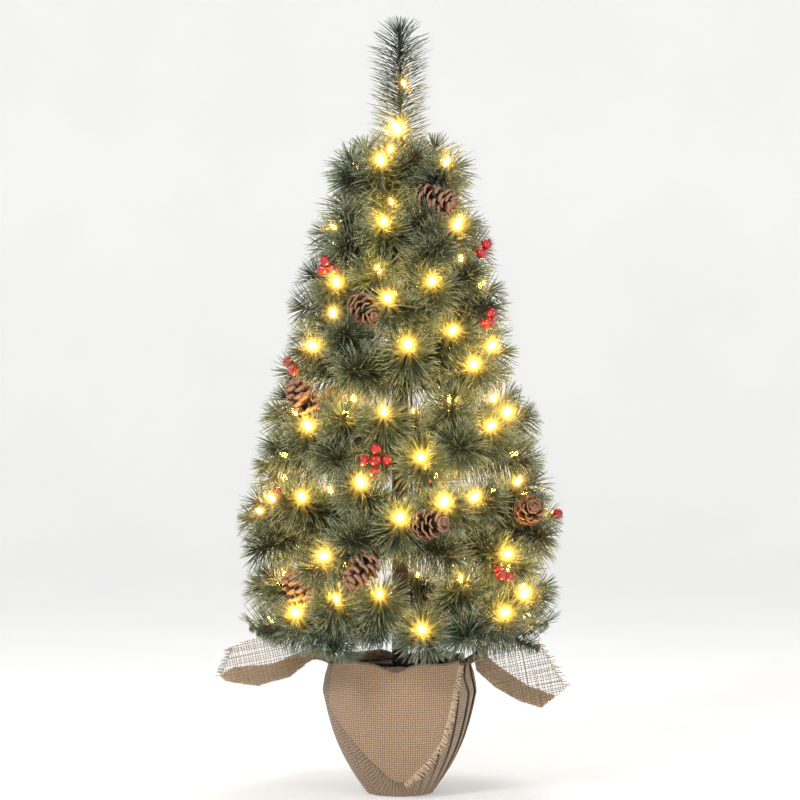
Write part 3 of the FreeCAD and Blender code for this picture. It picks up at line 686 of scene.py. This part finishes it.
def cone_scale(reach, width, thick, cup):
    """One woody scale along +X in local axes: a cupped spoon with a thick lip. Gives points, faces and
    how far along each point is."""
    rows, along = [], []
    for share, wide in SCALE_OUTLINE:
        for k in (-1.0, -0.5, 0.0, 0.5, 1.0):
            x = reach * share - abs(k) * reach * 0.1 * share
            y = width / 2 * wide * k
            z = cup * share**2 + thick * 1.6 * (k * wide) ** 2
            rows.append((x, y, z))
            along.append(share)
    top = np.array(rows)
    lip = np.repeat([0.5, 0.7, 1.0, 1.25, 0.9], 5)
    bottom = top - np.array([0, 0, 1.0]) * (thick * lip)[:, None]
    faces = []
    for r in range(4):
        for k in range(4):
            a = r * 5 + k
            faces.append((a, a + 5, a + 6, a + 1))
            faces.append((a + 25, a + 26, a + 31, a + 30))
    edge = [0, 1, 2, 3, 4, 9, 14, 19, 24, 23, 22, 21, 20, 15, 10, 5]
    for a, b in zip(edge, edge[1:] + edge[:1]):
        faces.append((a, b, b + 25, a + 25))
    return np.concatenate([top, bottom]), faces, np.array(along * 2)


def pinecone(bag, values, centre, way, half, radius):
    """An open cone about its axis, wide at its base. values collects the scale map's u for its points."""
    base = centre - way * half
    axes = rotation_to(way)
    twist = rng.random() * math.tau
    core_share = np.linspace(0, 1, 9)
    core_radii = radius * 0.3 * np.sqrt(np.clip(1 - (core_share * 1.02 - 0.3) ** 2 / 0.56, 0.02, 1))
    before = bag.count
    bag.tube(base + np.outer(core_share * half * 1.85, way), core_radii, 10, 0)
    # The core takes the darkest end of the scales' colours: painted shade inside the cone
    values.append(np.full(bag.count - before, 0.05))
    for k in range(CONE_SCALES):
        share = (k + 0.5) / CONE_SCALES
        height = half * 2 * (0.04 + 0.86 * share)
        outline = radius * math.sin(math.pi * (0.2 + 0.72 * share**0.8)) ** 0.7
        rise = math.radians(4 + 66 * share**1.4 + rng.normal(0, 6))
        turn = k * GOLDEN_TURN + twist
        reach = outline * (0.92 if share < 0.9 else 0.8) / max(math.cos(rise), 0.72)
        wide = radius * (0.86 - 0.42 * share) * rng.normal(1, 0.1)
        points, faces, along = cone_scale(reach, wide, radius * 0.085, radius * (0.3 - 0.16 * share))
        up, flat = math.sin(rise), math.cos(rise)
        tilt = np.array([[flat, 0, -up], [0, 1, 0], [up, 0, flat]])
        sine, cosine = math.sin(turn), math.cos(turn)
        spin = np.array([[cosine, -sine, 0], [sine, cosine, 0], [0, 0, 1]])
        points = points @ (axes @ spin @ tilt).T
        bag.add(base + way * height + points, faces, 0)
        values.append(along)


BERRY_PROFILE = [
    (-6.5, 0.9), (-6.1, 2.4), (-4.6, 4.6), (-2.4, 6.0), (0.0, 6.45),
    (2.4, 6.05), (4.5, 4.7), (5.8, 2.9), (6.25, 1.5), (6.0, 0.7),
]
BERRY_HALF = 6.5
WIRE_SAG = 1.2 * MM
THIN_SHARE = 0.25


def berry(bag, centre, way, size):
    """A lacquered berry with a dimple and a small brown calyx at its outer end."""
    profile = [(d * size / BERRY_HALF, r * size / BERRY_HALF) for d, r in BERRY_PROFILE]
    turned_profile(bag, centre, way, profile, 18, 0)
    axes = rotation_to(way)
    for k in range(5):
        turn = k * math.tau / 5
        out = axes[:, 0] * math.cos(turn) + axes[:, 1] * math.sin(turn)
        start = centre + way * size * 0.9 * MM
        end = centre + way * size * 1.06 * MM + out * size * 0.26 * MM
        bag.tube([start, (start + end) / 2 + way * 0.2 * MM, end], np.array([0.7, 0.6, 0.15]) * MM, 5, 1)


def decorations(name, node, body, kind):
    """Pine cones or berries where a node's solids are: round ones are the fruit, thin ones the wires."""
    bag, values, fruit, wires = Bag(), [], [], []
    for points in islands(node):
        middle = (points.max(0) + points.min(0)) / 2
        spread = np.linalg.svd(points - points.mean(0), full_matrices=False)
        thin = spread[1][1] / spread[1][0] < THIN_SHARE
        (wires if thin else fruit).append((middle, points, spread[2]))
    for middle, points, axes in fruit:
        ends = [end for _, wire, _ in wires for end in rod(wire)]
        places = [end[0] for end in ends] or [middle - UP * 0.01]
        near = min(places, key=lambda p: np.linalg.norm(p - middle))
        away = unit(middle - near)
        size = np.linalg.norm(points - middle, axis=1).max()
        if kind == "cone":
            way = axes[0] if axes[0] @ away > 0 else -axes[0]
            heights = (points - middle) @ way
            radius = np.linalg.norm((points - middle) - np.outer(heights, way), axis=1).max()
            pinecone(bag, values, middle, way, size, radius)
        else:
            berry(bag, middle, away, size / MM)
    for _, points, _ in wires:
        (start, radius), (end, _) = rod(points)
        before = bag.count
        share = np.linspace(0, 1, 7)[:, None]
        sag = np.sin(share * math.pi) * np.array([0, 0, -WIRE_SAG])
        bag.tube(start + (end - start) * share + sag, radius, 6, 1)
        values.append(np.zeros(bag.count - before))
    outer = SCALE if kind == "cone" else BERRY
    made = bag.piece(name, [outer, WIRE], body, {"cone": "pine_cone", "berry": "berry"}[kind], [node])
    if kind == "cone":
        along = np.concatenate(values)
        corners = np.empty(len(made.data.loops), np.int32)
        made.data.loops.foreach_get("vertex_index", corners)
        write_map(made, "scale", np.stack([along[corners], np.zeros(len(corners))], axis=1))


# Burlap: one square of cloth, gathered up round the pot, with its corners turned out over the rim

FOOT_RADIUS = 39 * MM
BELLY_RADIUS = 87 * MM
BELLY_HEIGHT = 118 * MM
RIM_RADIUS = 82 * MM
RIM_HEIGHT = 151 * MM
FOOT_GAP = 0.8 * MM
BULGE = 9.5 * MM
LIP_RADIUS = 2.6 * MM
CLOTH_THICKNESS = 1.1 * MM
PLEATS = 27
PLEAT_LEAN = -5.5
WRAP_ROWS = 80
COLUMNS_PER_PLEAT = 20


def wrap_profile(count):
    """Points up the pot's outside, from under its foot to the cloth's hem inside the rim, with the
    length along them."""
    share = np.linspace(0, 1, 61)
    foot = (np.linspace(0.012, FOOT_RADIUS, 5), np.full(5, FOOT_GAP))
    bulge = np.sin(share * math.pi) * BULGE
    belly_radii = FOOT_RADIUS + (BELLY_RADIUS - FOOT_RADIUS) * share + bulge * (1 - 0.25 * share)
    belly = (belly_radii[1:], (FOOT_GAP + share * BELLY_HEIGHT)[1:])
    neck = np.linspace(0, 1, 16)[1:]
    ease = neck * neck * (3 - 2 * neck)
    neck_radii = BELLY_RADIUS - (BELLY_RADIUS - RIM_RADIUS) * ease
    upper = (neck_radii, BELLY_HEIGHT + (RIM_HEIGHT - BELLY_HEIGHT) * neck)
    turns = np.linspace(0, math.pi, 9)[1:]
    lip_radii = RIM_RADIUS - LIP_RADIUS + LIP_RADIUS * np.cos(turns)
    lip = (lip_radii, RIM_HEIGHT + 3.2 * MM * np.sin(turns))
    hem = (np.linspace(75.5, 60, 6) * MM, np.full(6, 150.4 * MM))
    path = np.concatenate([np.stack(part, axis=1) for part in (foot, belly, upper, lip, hem)])
    run = np.concatenate([[0], np.cumsum(np.linalg.norm(np.diff(path, axis=0), axis=1))])
    steps = np.linspace(0, run[-1], count)
    return np.interp(steps, run, path[:, 0]), np.interp(steps, run, path[:, 1]), steps


def cloth(name, grid, thread_map, thickness, closed, body, replaced, material=BURLAP):
    """A closed mesh from a grid of points (rows x columns), thickened evenly along its normals."""
    grid = np.asarray(grid, float)
    rows, columns = grid.shape[:2]
    if closed:
        d_column = np.roll(grid, -1, 1) - np.roll(grid, 1, 1)
    else:
        d_column = np.gradient(grid, axis=1)
    normals = np.cross(d_column, np.gradient(grid, axis=0))
    normals = normals / np.maximum(np.linalg.norm(normals, axis=-1, keepdims=True), 1e-12)
    offset = normals * thickness / 2
    points = np.concatenate([grid + offset, grid - offset]).reshape(-1, 3)
    half = rows * columns
    index = np.arange(half).reshape(rows, columns)
    faces, maps = [], []
    flat = np.asarray(thread_map, float)
    wide = columns if closed else columns - 1
    for r in range(rows - 1):
        for c in range(wide):
            n = (c + 1) % columns
            corners = (index[r, c], index[r, n], index[r + 1, n], index[r + 1, c])
            mapped = [flat[r, c], flat[r, c + 1], flat[r + 1, c + 1], flat[r + 1, c]]
            faces.append(corners)
            maps += mapped
            faces.append(tuple(i + half for i in reversed(corners)))
            maps += mapped[::-1]
    border = [(index[-1, (c + 1) % columns], index[-1, c]) for c in range(wide)]
    border += [(index[0, c], index[0, (c + 1) % columns]) for c in range(wide)]
    if not closed:
        border += [(index[r + 1, 0], index[r, 0]) for r in range(rows - 1)]
        border += [(index[r, -1], index[r + 1, -1]) for r in range(rows - 1)]
    for a, b in border:
        faces.append((b, a, a + half, b + half))
        maps += [flat.reshape(-1, 2)[0]] * 4
    faces = [tuple(int(i) for i in face) for face in faces]
    made = piece(name, points, faces, [material], body, replaced)
    write_map(made, "threads", np.array(maps))
    return made


def smooth_noise(count, knots, size):
    """A smooth random line of count values through some knots, whose end meets its start."""
    values = rng.normal(0, size, knots)
    values = np.append(values, values[0])
    place = np.linspace(0, knots, count, endpoint=False)
    low = np.floor(place).astype(int) % (knots + 1)
    share = place - np.floor(place)
    share = share * share * (3 - 2 * share)
    return values[low] * (1 - share) + values[np.minimum(low + 1, knots)] * share


def make_wrap():
    """The gathered part of the cloth: flat under the foot, in folds that deepen towards the rim."""
    rows, columns = WRAP_ROWS, PLEATS * COLUMNS_PER_PLEAT
    radius, height, run = wrap_profile(rows)
    turn = np.linspace(0, math.tau, columns, endpoint=False)
    phase = turn * PLEATS + np.cumsum(smooth_noise(columns, 23, 0.05))
    phase += (turn / math.tau) * (round((phase[-1]) / math.tau) * math.tau - phase[-1])
    depth_of = 1 + smooth_noise(columns, PLEATS, 0.28)
    share = np.clip((height - 4 * MM) / (RIM_HEIGHT - 4 * MM), 0, 1)
    depth = (0.9 * MM + 4.5 * MM * share**0.55)[:, None] * np.clip(depth_of, 0.55, 1.1)[None, :]
    on_rim = np.clip((height - 140 * MM) / (12 * MM), 0, 1)[:, None]
    depth = depth * (1 - 0.45 * on_rim)
    drift = np.sin(height[:, None] * 34 + smooth_noise(columns, 9, 0.7)[None, :]) * 0.5
    wave = phase[None, :] + drift
    fold = 0.5 + 0.5 * np.sin(wave)
    lean = PLEAT_LEAN * fold * share[:, None] ** 0.5 * depth / np.maximum(radius, 0.02)[:, None]
    inside = np.arange(rows)[:, None] >= rows - 8
    out = np.where(inside, -0.25 * depth * fold, depth * fold)
    under = np.clip(radius / FOOT_RADIUS, 0, 1)[:, None]
    ring = radius[:, None] - 1.2 * MM * under + out * under
    angle = turn[None, :] + lean
    lift = np.where(inside, depth * fold * 0.5, 0)
    grid = np.stack([ring * np.cos(angle), ring * np.sin(angle), height[:, None] + lift], axis=-1)
    corner = turn - math.pi / 4
    full = np.append(corner, corner[0] + math.tau)
    flat = np.stack([run[:, None] * np.cos(full)[None, :], run[:, None] * np.sin(full)[None, :]], axis=-1)
    threads = flat / THREAD_PITCH
    replaced = ["burlap_wrap"]
    # The gathered part takes the darker copy of the burlap, a painted shade
    return cloth(
        "burlap_gathered", grid, threads, CLOTH_THICKNESS, True, "base", replaced, BURLAP_SHADED
    )


FLAP_TOP = 157.5 * MM
FLAP_TIP = 19 * MM
FLAP_LEFT = [(17.5, -1.0), (25, -12), (52, -42), (86, -78), (106, -98), (130, -97), (158.5, -92)]
FLAP_RIGHT = [(17.5, 4.0), (28, 15), (46, 33), (70, 51), (103, 61), (131, 67), (158.5, 78)]
THREAD_RADIUS = 0.45 * MM
LOOSE_RADIUS = 0.36 * MM
FOLD_DEPTH = 19 * MM
FOLD_RISE = 3 * MM
EDGE_LIFT = 4.2 * MM
TOP_DIP = 9 * MM


def pot_radius(height):
    """The radius of the gathered cloth's outermost folds at a height."""
    radius, level, _ = wrap_profile(120)
    outer = level.argmax()
    base = np.interp(height, level[:outer], radius[:outer])
    return base + 4.4 * MM * np.clip(height / RIM_HEIGHT, 0, 1) ** 0.8


def make_flap(name, node, facing):
    """A corner of the cloth that turns over the rim and hangs down the pot, with one frayed edge."""
    fold_rows, rows, columns = 9, 76, 66
    drop = np.linspace(0, 1, rows - fold_rows)
    height = FLAP_TOP + (FLAP_TIP - FLAP_TOP) * drop
    level = np.array([p[0] for p in FLAP_LEFT]) * MM
    left = np.interp(height, level, np.array([p[1] for p in FLAP_LEFT]) * MM)
    level = np.array([p[0] for p in FLAP_RIGHT]) * MM
    right = np.interp(height, level, np.array([p[1] for p in FLAP_RIGHT]) * MM)
    half_turn = math.pi * (1 - np.arange(fold_rows) / fold_rows)
    over = FOLD_DEPTH * (np.cos(half_turn) - 1) / 2
    rise = FOLD_RISE * np.sin(half_turn) - 5 * MM * (1 - np.arange(fold_rows) / fold_rows)
    inner = np.concatenate([over, np.zeros(rows - fold_rows)])[:, None]
    height = np.concatenate([FLAP_TOP + rise, height])[:, None]
    drop = np.concatenate([np.zeros(fold_rows), drop])[:, None]
    left = np.concatenate([np.full(fold_rows, left[0]), left])[:, None]
    right = np.concatenate([np.full(fold_rows, right[0]), right])[:, None]
    across = np.linspace(0, 1, columns)[None, :]
    x = left + (right - left) * across
    soft = np.sin(x * 62 + 0.6) * 0.9 * MM + np.sin(x * 23 - drop * 4) * 1.5 * MM
    lifted = EDGE_LIFT * (across**6 + 0.6 * (1 - across) ** 8) * np.clip(drop * 5, 0, 1)
    radius = pot_radius(np.minimum(height, 148 * MM)) + 2.2 * MM + inner
    radius = radius + soft * (0.3 + drop * 0.7) + lifted
    angle = np.clip(x / np.maximum(radius, 0.03), -1.25, 1.25)
    near_top = np.clip(1 - drop * 9, 0, 1)
    dip = TOP_DIP * np.exp(-(((x + 4 * MM) / (17 * MM)) ** 2)) * near_top
    waver = np.sin(x * 95) * 1.2 * MM * near_top
    grid = np.stack([radius * np.sin(angle), -radius * np.cos(angle), height - dip + waver], axis=-1)
    spin = np.array([[facing, 0, 0], [0, facing, 0], [0, 0, 1.0]])
    grid = grid @ spin.T
    diagonal = math.sqrt(0.5)
    down = height - inner * 1.4
    flat = np.stack([(x + down) * diagonal, (x - down) * diagonal], axis=-1)
    made = cloth(name, grid, flat / THREAD_PITCH, CLOTH_THICKNESS, False, "base", [node])
    bag = Bag()
    for r in range(fold_rows + 2, rows):
        for part in (0.0, 0.33, 0.66):
            edge = grid[r, -1] * (1 - part) + grid[r - 1, -1] * part
            out = unit(grid[r, -1] - grid[r, -4])
            way = unit(out * 0.9 + np.array([0, 0, rng.normal(-0.35, 0.3)]))
            length = rng.uniform(5.0, 10.5) * MM
            share = np.linspace(0, 1, 4)[:, None]
            curve = np.array([0, 0, -1.6 * MM]) * share**2 + rng.normal(0, 0.6 * MM, 3) * share
            bag.tube(edge - out * MM + way * length * share + curve, THREAD_RADIUS, 4, 0)
    fringe = bag.piece(name + "_fringe", [YARN], "base", "burlap")
    return made, fringe


def yarn_material(name, low, middle, high):
    """Jute yarn, mottled from fibre to fibre."""
    made = Material(name, Roughness=0.9)
    made.shader.inputs["Sheen Weight"].default_value = 0.3
    made.feed("Base Color", made.ramp(made.noise(700, 4), (0.3, low), (0.5, middle), (0.7, high)))
    return made.data


YARN = yarn_material("jute_yarn", (0.46, 0.3, 0.18), (0.7, 0.51, 0.33), (0.85, 0.68, 0.48))
# The same jute yarn in a darker copy: painted shade, for the side corners' single layer and frayed ends
DARK_YARN = yarn_material("jute_yarn_painted_shade", (0.2, 0.125, 0.07), (0.36, 0.25, 0.15), (0.55, 0.41, 0.27))


def inside(shape, x, z):
    """Whether a point is inside an outline."""
    held = False
    for (ax, az), (bx, bz) in zip(shape, shape[1:] + shape[:1]):
        if (az > z) != (bz > z) and x < (bx - ax) * (z - az) / (bz - az) + ax:
            held = not held
    return held


def leaf_place(x, z, side):
    """Where a point of a side corner's flat outline lies in space: the cloth waves a little in depth."""
    from_neck = (abs(x) - 94) / 100
    wave = 4.2 * math.sin(from_neck * 5.2 + z * 0.05) + 3.0 * math.sin(z * 0.16 + from_neck * 2)
    return np.array([x, wave * min(max(from_neck + 0.3, 0.2), 1.0) + side, z]) * MM


def open_weave(bag, shape, tilt, pitch, depth, radius, tone):
    """Two sets of crossing threads within an outline, each over and under the other set."""
    points = np.array(shape, float)
    centre = points.mean(0)
    reach = np.linalg.norm(points - centre, axis=1).max()
    for which in (0, 1):
        angle = math.radians(tilt + 90 * which)
        along = np.array([math.cos(angle), math.sin(angle)])
        across = np.array([-along[1], along[0]])
        count = int(reach / pitch)
        for k in range(-count, count + 1):
            offset = k * pitch + rng.normal(0, pitch * 0.13)
            bow = rng.normal(0, 0.8)
            run = []
            for s in np.arange(-reach, reach, pitch / 2):
                drift = bow * math.sin(s / reach * 2.2)
                place = centre + along * s + across * (offset + drift)
                if inside(shape, *place):
                    over = math.sin((s / pitch + which * 0.5) * math.pi + k * math.pi) * radius * 1.1
                    run.append(leaf_place(place[0], place[1], depth + over))
                else:
                    if len(run) > 3:
                        bag.tube(run, radius * MM * rng.uniform(0.85, 1.15), 4, tone)
                    run = []
            if len(run) > 3:
                bag.tube(run, radius * MM * rng.uniform(0.85, 1.15), 4, tone)


LEAF_LEFT = [(-91, 163), (-96, 176), (-118, 181), (-156, 186), (-182, 178), (-198, 170), (-212, 135),
             (-205, 130), (-168, 124), (-130, 134), (-110, 150)]
BAND_LEFT = [(-92, 162), (-112, 166), (-150, 150), (-196, 146), (-212, 136), (-205, 130), (-168, 124),
             (-130, 134), (-110, 150)]
LEAF_RIGHT = [(84, 166), (92, 174), (120, 176), (150, 178), (163, 178), (190, 132), (197, 122), (166, 98),
              (140, 106), (112, 122), (90, 142)]
BAND_RIGHT = [(86, 163), (96, 164), (118, 146), (150, 124), (184, 112), (166, 98), (140, 106), (112, 122),
              (90, 142)]


def make_leaf(name, node, shape, band, fray):
    """A side corner of the cloth: open weave, doubled along its lower edge, frayed at its far edge."""
    bag = Bag()
    # The single layer and its fray take the darker copy of the yarn, a painted shade; the doubled band
    # takes the plain yarn
    open_weave(bag, shape, 12, 2.9, -1.5, 0.36, 1)
    open_weave(bag, band, 30, 1.5, 2.2, 0.55, 0)
    open_weave(bag, band, -18, 1.6, 4.6, 0.55, 0)
    (ax, az), (bx, bz) = fray
    for share in np.linspace(0, 1, 30):
        x, z = ax + (bx - ax) * share, az + (bz - az) * share
        out = math.copysign(1.0, x)
        start = leaf_place(x - out * 2, z, -1.5)
        way = np.array([out, rng.normal(0, 0.25), rng.normal(-0.1, 0.3)])
        length = rng.uniform(5, 10) * MM
        steps = np.linspace(0, 1, 4)[:, None]
        curl = rng.normal(0, 0.6 * MM, 3) * steps**2
        bag.tube(start + unit(way) * length * steps + curl, LOOSE_RADIUS, 4, 1)
    return bag.piece(name, [YARN, DARK_YARN], "base", "burlap", [node])


def make_neck(name, side):
    """The gathered cloth between the rim and a side corner: a fan of rounded folds."""
    rows, columns = 18, 60
    share = np.linspace(0, 1, rows)[:, None]
    across = np.linspace(-1, 1, columns)[None, :]
    out = (76 + 26 * share) * MM
    spread = (17 + 4 * share**2) * MM
    height = (151 + 14 * np.sin(share * math.pi / 2) + 5 * np.cos(across * math.pi) * share) * MM
    folds = np.sin(across * 15 + share * 1.2) * 3.0 * MM
    x = side * (out + np.cos(across * math.pi / 2) * 2 * MM)
    grid = np.stack([x, across * spread, height + folds], axis=-1)
    flat = np.stack([grid[..., 0] + grid[..., 1], grid[..., 0] - grid[..., 1]], axis=-1)
    return cloth(name, grid, flat / THREAD_PITCH, CLOTH_THICKNESS, False, "base", [])


# Putting it together


def cores_and_stems(node):
    """A branch's brush cores and its bare wires. The small round eye on its hinge is left out."""
    cores, bare = [], []
    for points in islands(node):
        ends = rod(points)
        length = np.linalg.norm(ends[0][0] - ends[1][0])
        if length < SHORTEST_STEM:
            continue
        (bare if ends[0][1] < THICKEST_WIRE else cores).append(ends)
    return cores, bare


def branch(tier, number):
    """A hinged branch's needles, stems and lamps, which ride on its body."""
    body = f"{tier}_branch_{number}"
    cores, bare = cores_and_stems(body)
    needles(f"{tier}_needles_{number}", cores + bare, body, [body])
    stems(f"{tier}_stems_{number}", cores + bare, body)
    lamps(f"{tier}_lamps_{number}", f"{tier}_lights_{number}", body, cores)


for tier in ("lower", "middle", "upper"):
    for number in (1, 2, 3, 4):
        branch(tier, number)

crown_cores = []
for number in (1, 2, 3, 4):
    cores, bare = cores_and_stems(f"crown_tier_{number}")
    crown_cores += cores
    needles(f"crown_needles_{number}", cores + bare, "base", [f"crown_tier_{number}"])
    stems(f"crown_stems_{number}", cores + bare, "base")
leader_core, _ = cores_and_stems("leader")
leader_core = [sorted(ends, key=lambda end: end[0][2]) for ends in leader_core]
crown_cores += leader_core
needles("leader_needles", leader_core, "base", ["leader"])
stems("leader_stem", leader_core, "base")
lamps("crown_lamps", "crown_lights", "base", crown_cores)

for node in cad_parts:
    for word, kind in (("cone", "cone"), ("berries", "berry")):
        if f"_{word}" in node and "tier" not in node:
            home = "base" if node.startswith("crown") else f"{node.split('_')[0]}_branch_{node[-1]}"
            decorations(f"{node}_piece", node, home, kind)

wrap = make_wrap()
front, front_fringe = make_flap("burlap_front", "burlap_flap_front", 1)
back, back_fringe = make_flap("burlap_back", "burlap_flap_back", -1)
left = make_leaf("burlap_left", "burlap_flap_left", LEAF_LEFT, BAND_LEFT, ((-198, 170), (-212, 137)))
right = make_leaf("burlap_right", "burlap_flap_right", LEAF_RIGHT, BAND_RIGHT, ((163, 176), (194, 124)))
left_neck = make_neck("burlap_left_gather", -1)
right_neck = make_neck("burlap_right_gather", 1)

CASE = ("case_green", (0.016, 0.04, 0.02), (0.024, 0.055, 0.028), 240, 0.5, 0.0003)
COVER = ("cover_green", (0.018, 0.045, 0.022), (0.028, 0.062, 0.03), 260, 0.45, 0.0003)
NICKEL = ("nickel", (0.5, 0.49, 0.46), (0.66, 0.65, 0.62), 300, 0.3)
FOAM = ("florist_foam", (0.02, 0.05, 0.022), (0.05, 0.1, 0.045), 420, 0.95, 0.001)
KEPT = {
    "pot": stone_material(),
    "ballast": stone_material(),
    "foam_plug": speckled(*FOAM).data,
    "trunk": TAPE,
    "branch_wraps": TAPE,
    "trunk_lead": LEAD,
    "battery_box": speckled(*CASE).data,
    "battery_cover": speckled(*COVER).data,
    "batteries": speckled("cell_skin", (0.03, 0.03, 0.034), (0.32, 0.2, 0.06), 60, 0.35).data,
    "contact_springs": speckled(*NICKEL, Metallic=1.0).data,
    "circuit_board": speckled("board_green", (0.01, 0.09, 0.035), (0.02, 0.16, 0.06), 180, 0.4).data,
    "power_button": speckled("button_grey", (0.4, 0.4, 0.38), (0.52, 0.52, 0.5), 300, 0.45).data,
}
for node, material in KEPT.items():
    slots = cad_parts[node].data.materials
    slots.clear()
    slots.append(material)


# Floor and backdrop


STAGE_RADIUS = 5.2
STAGE_SWEEP = 1.2
STAGE_HEIGHT = 5.0
STAGE_SIDES = 64
STAGE_DROP = 0.0005
STAGE_GLOW = 0.16


def backdrop():
    """A pale round floor that sweeps up into a wall all the way round."""
    turns = np.linspace(0, math.pi / 2, 10)
    flat = STAGE_RADIUS - STAGE_SWEEP
    profile = [(flat * share, -STAGE_DROP) for share in (0.05, 0.25, 0.6)]
    for turn in turns:
        level = STAGE_SWEEP * (1 - math.cos(turn)) - STAGE_DROP
        profile.append((flat + STAGE_SWEEP * math.sin(turn), level))
    profile.append((STAGE_RADIUS, STAGE_HEIGHT))
    around = np.linspace(0, math.tau, STAGE_SIDES, endpoint=False)
    points = [(r * math.cos(t), r * math.sin(t), z) for r, z in profile for t in around]
    faces = [tuple(range(STAGE_SIDES))]
    for ring in range(len(profile) - 1):
        for k in range(STAGE_SIDES):
            low, after = ring * STAGE_SIDES, (k + 1) % STAGE_SIDES
            faces.append((low + k, low + STAGE_SIDES + k, low + STAGE_SIDES + after, low + after))
    mesh = bpy.data.meshes.new("backdrop")
    mesh.from_pydata(points, [], faces)
    mesh.polygons.foreach_set("use_smooth", [True] * len(faces))
    paper = speckled("paper", (0.9, 0.9, 0.9), (0.93, 0.93, 0.93), 3, 0.9)
    paper.shader.inputs["Emission Color"].default_value = (1, 1, 1, 1)
    paper.shader.inputs["Emission Strength"].default_value = STAGE_GLOW
    mesh.materials.append(paper.data)
    made = bpy.data.objects.new("backdrop", mesh)
    bpy.context.collection.objects.link(made)


backdrop()

bpy.context.view_layer.update()
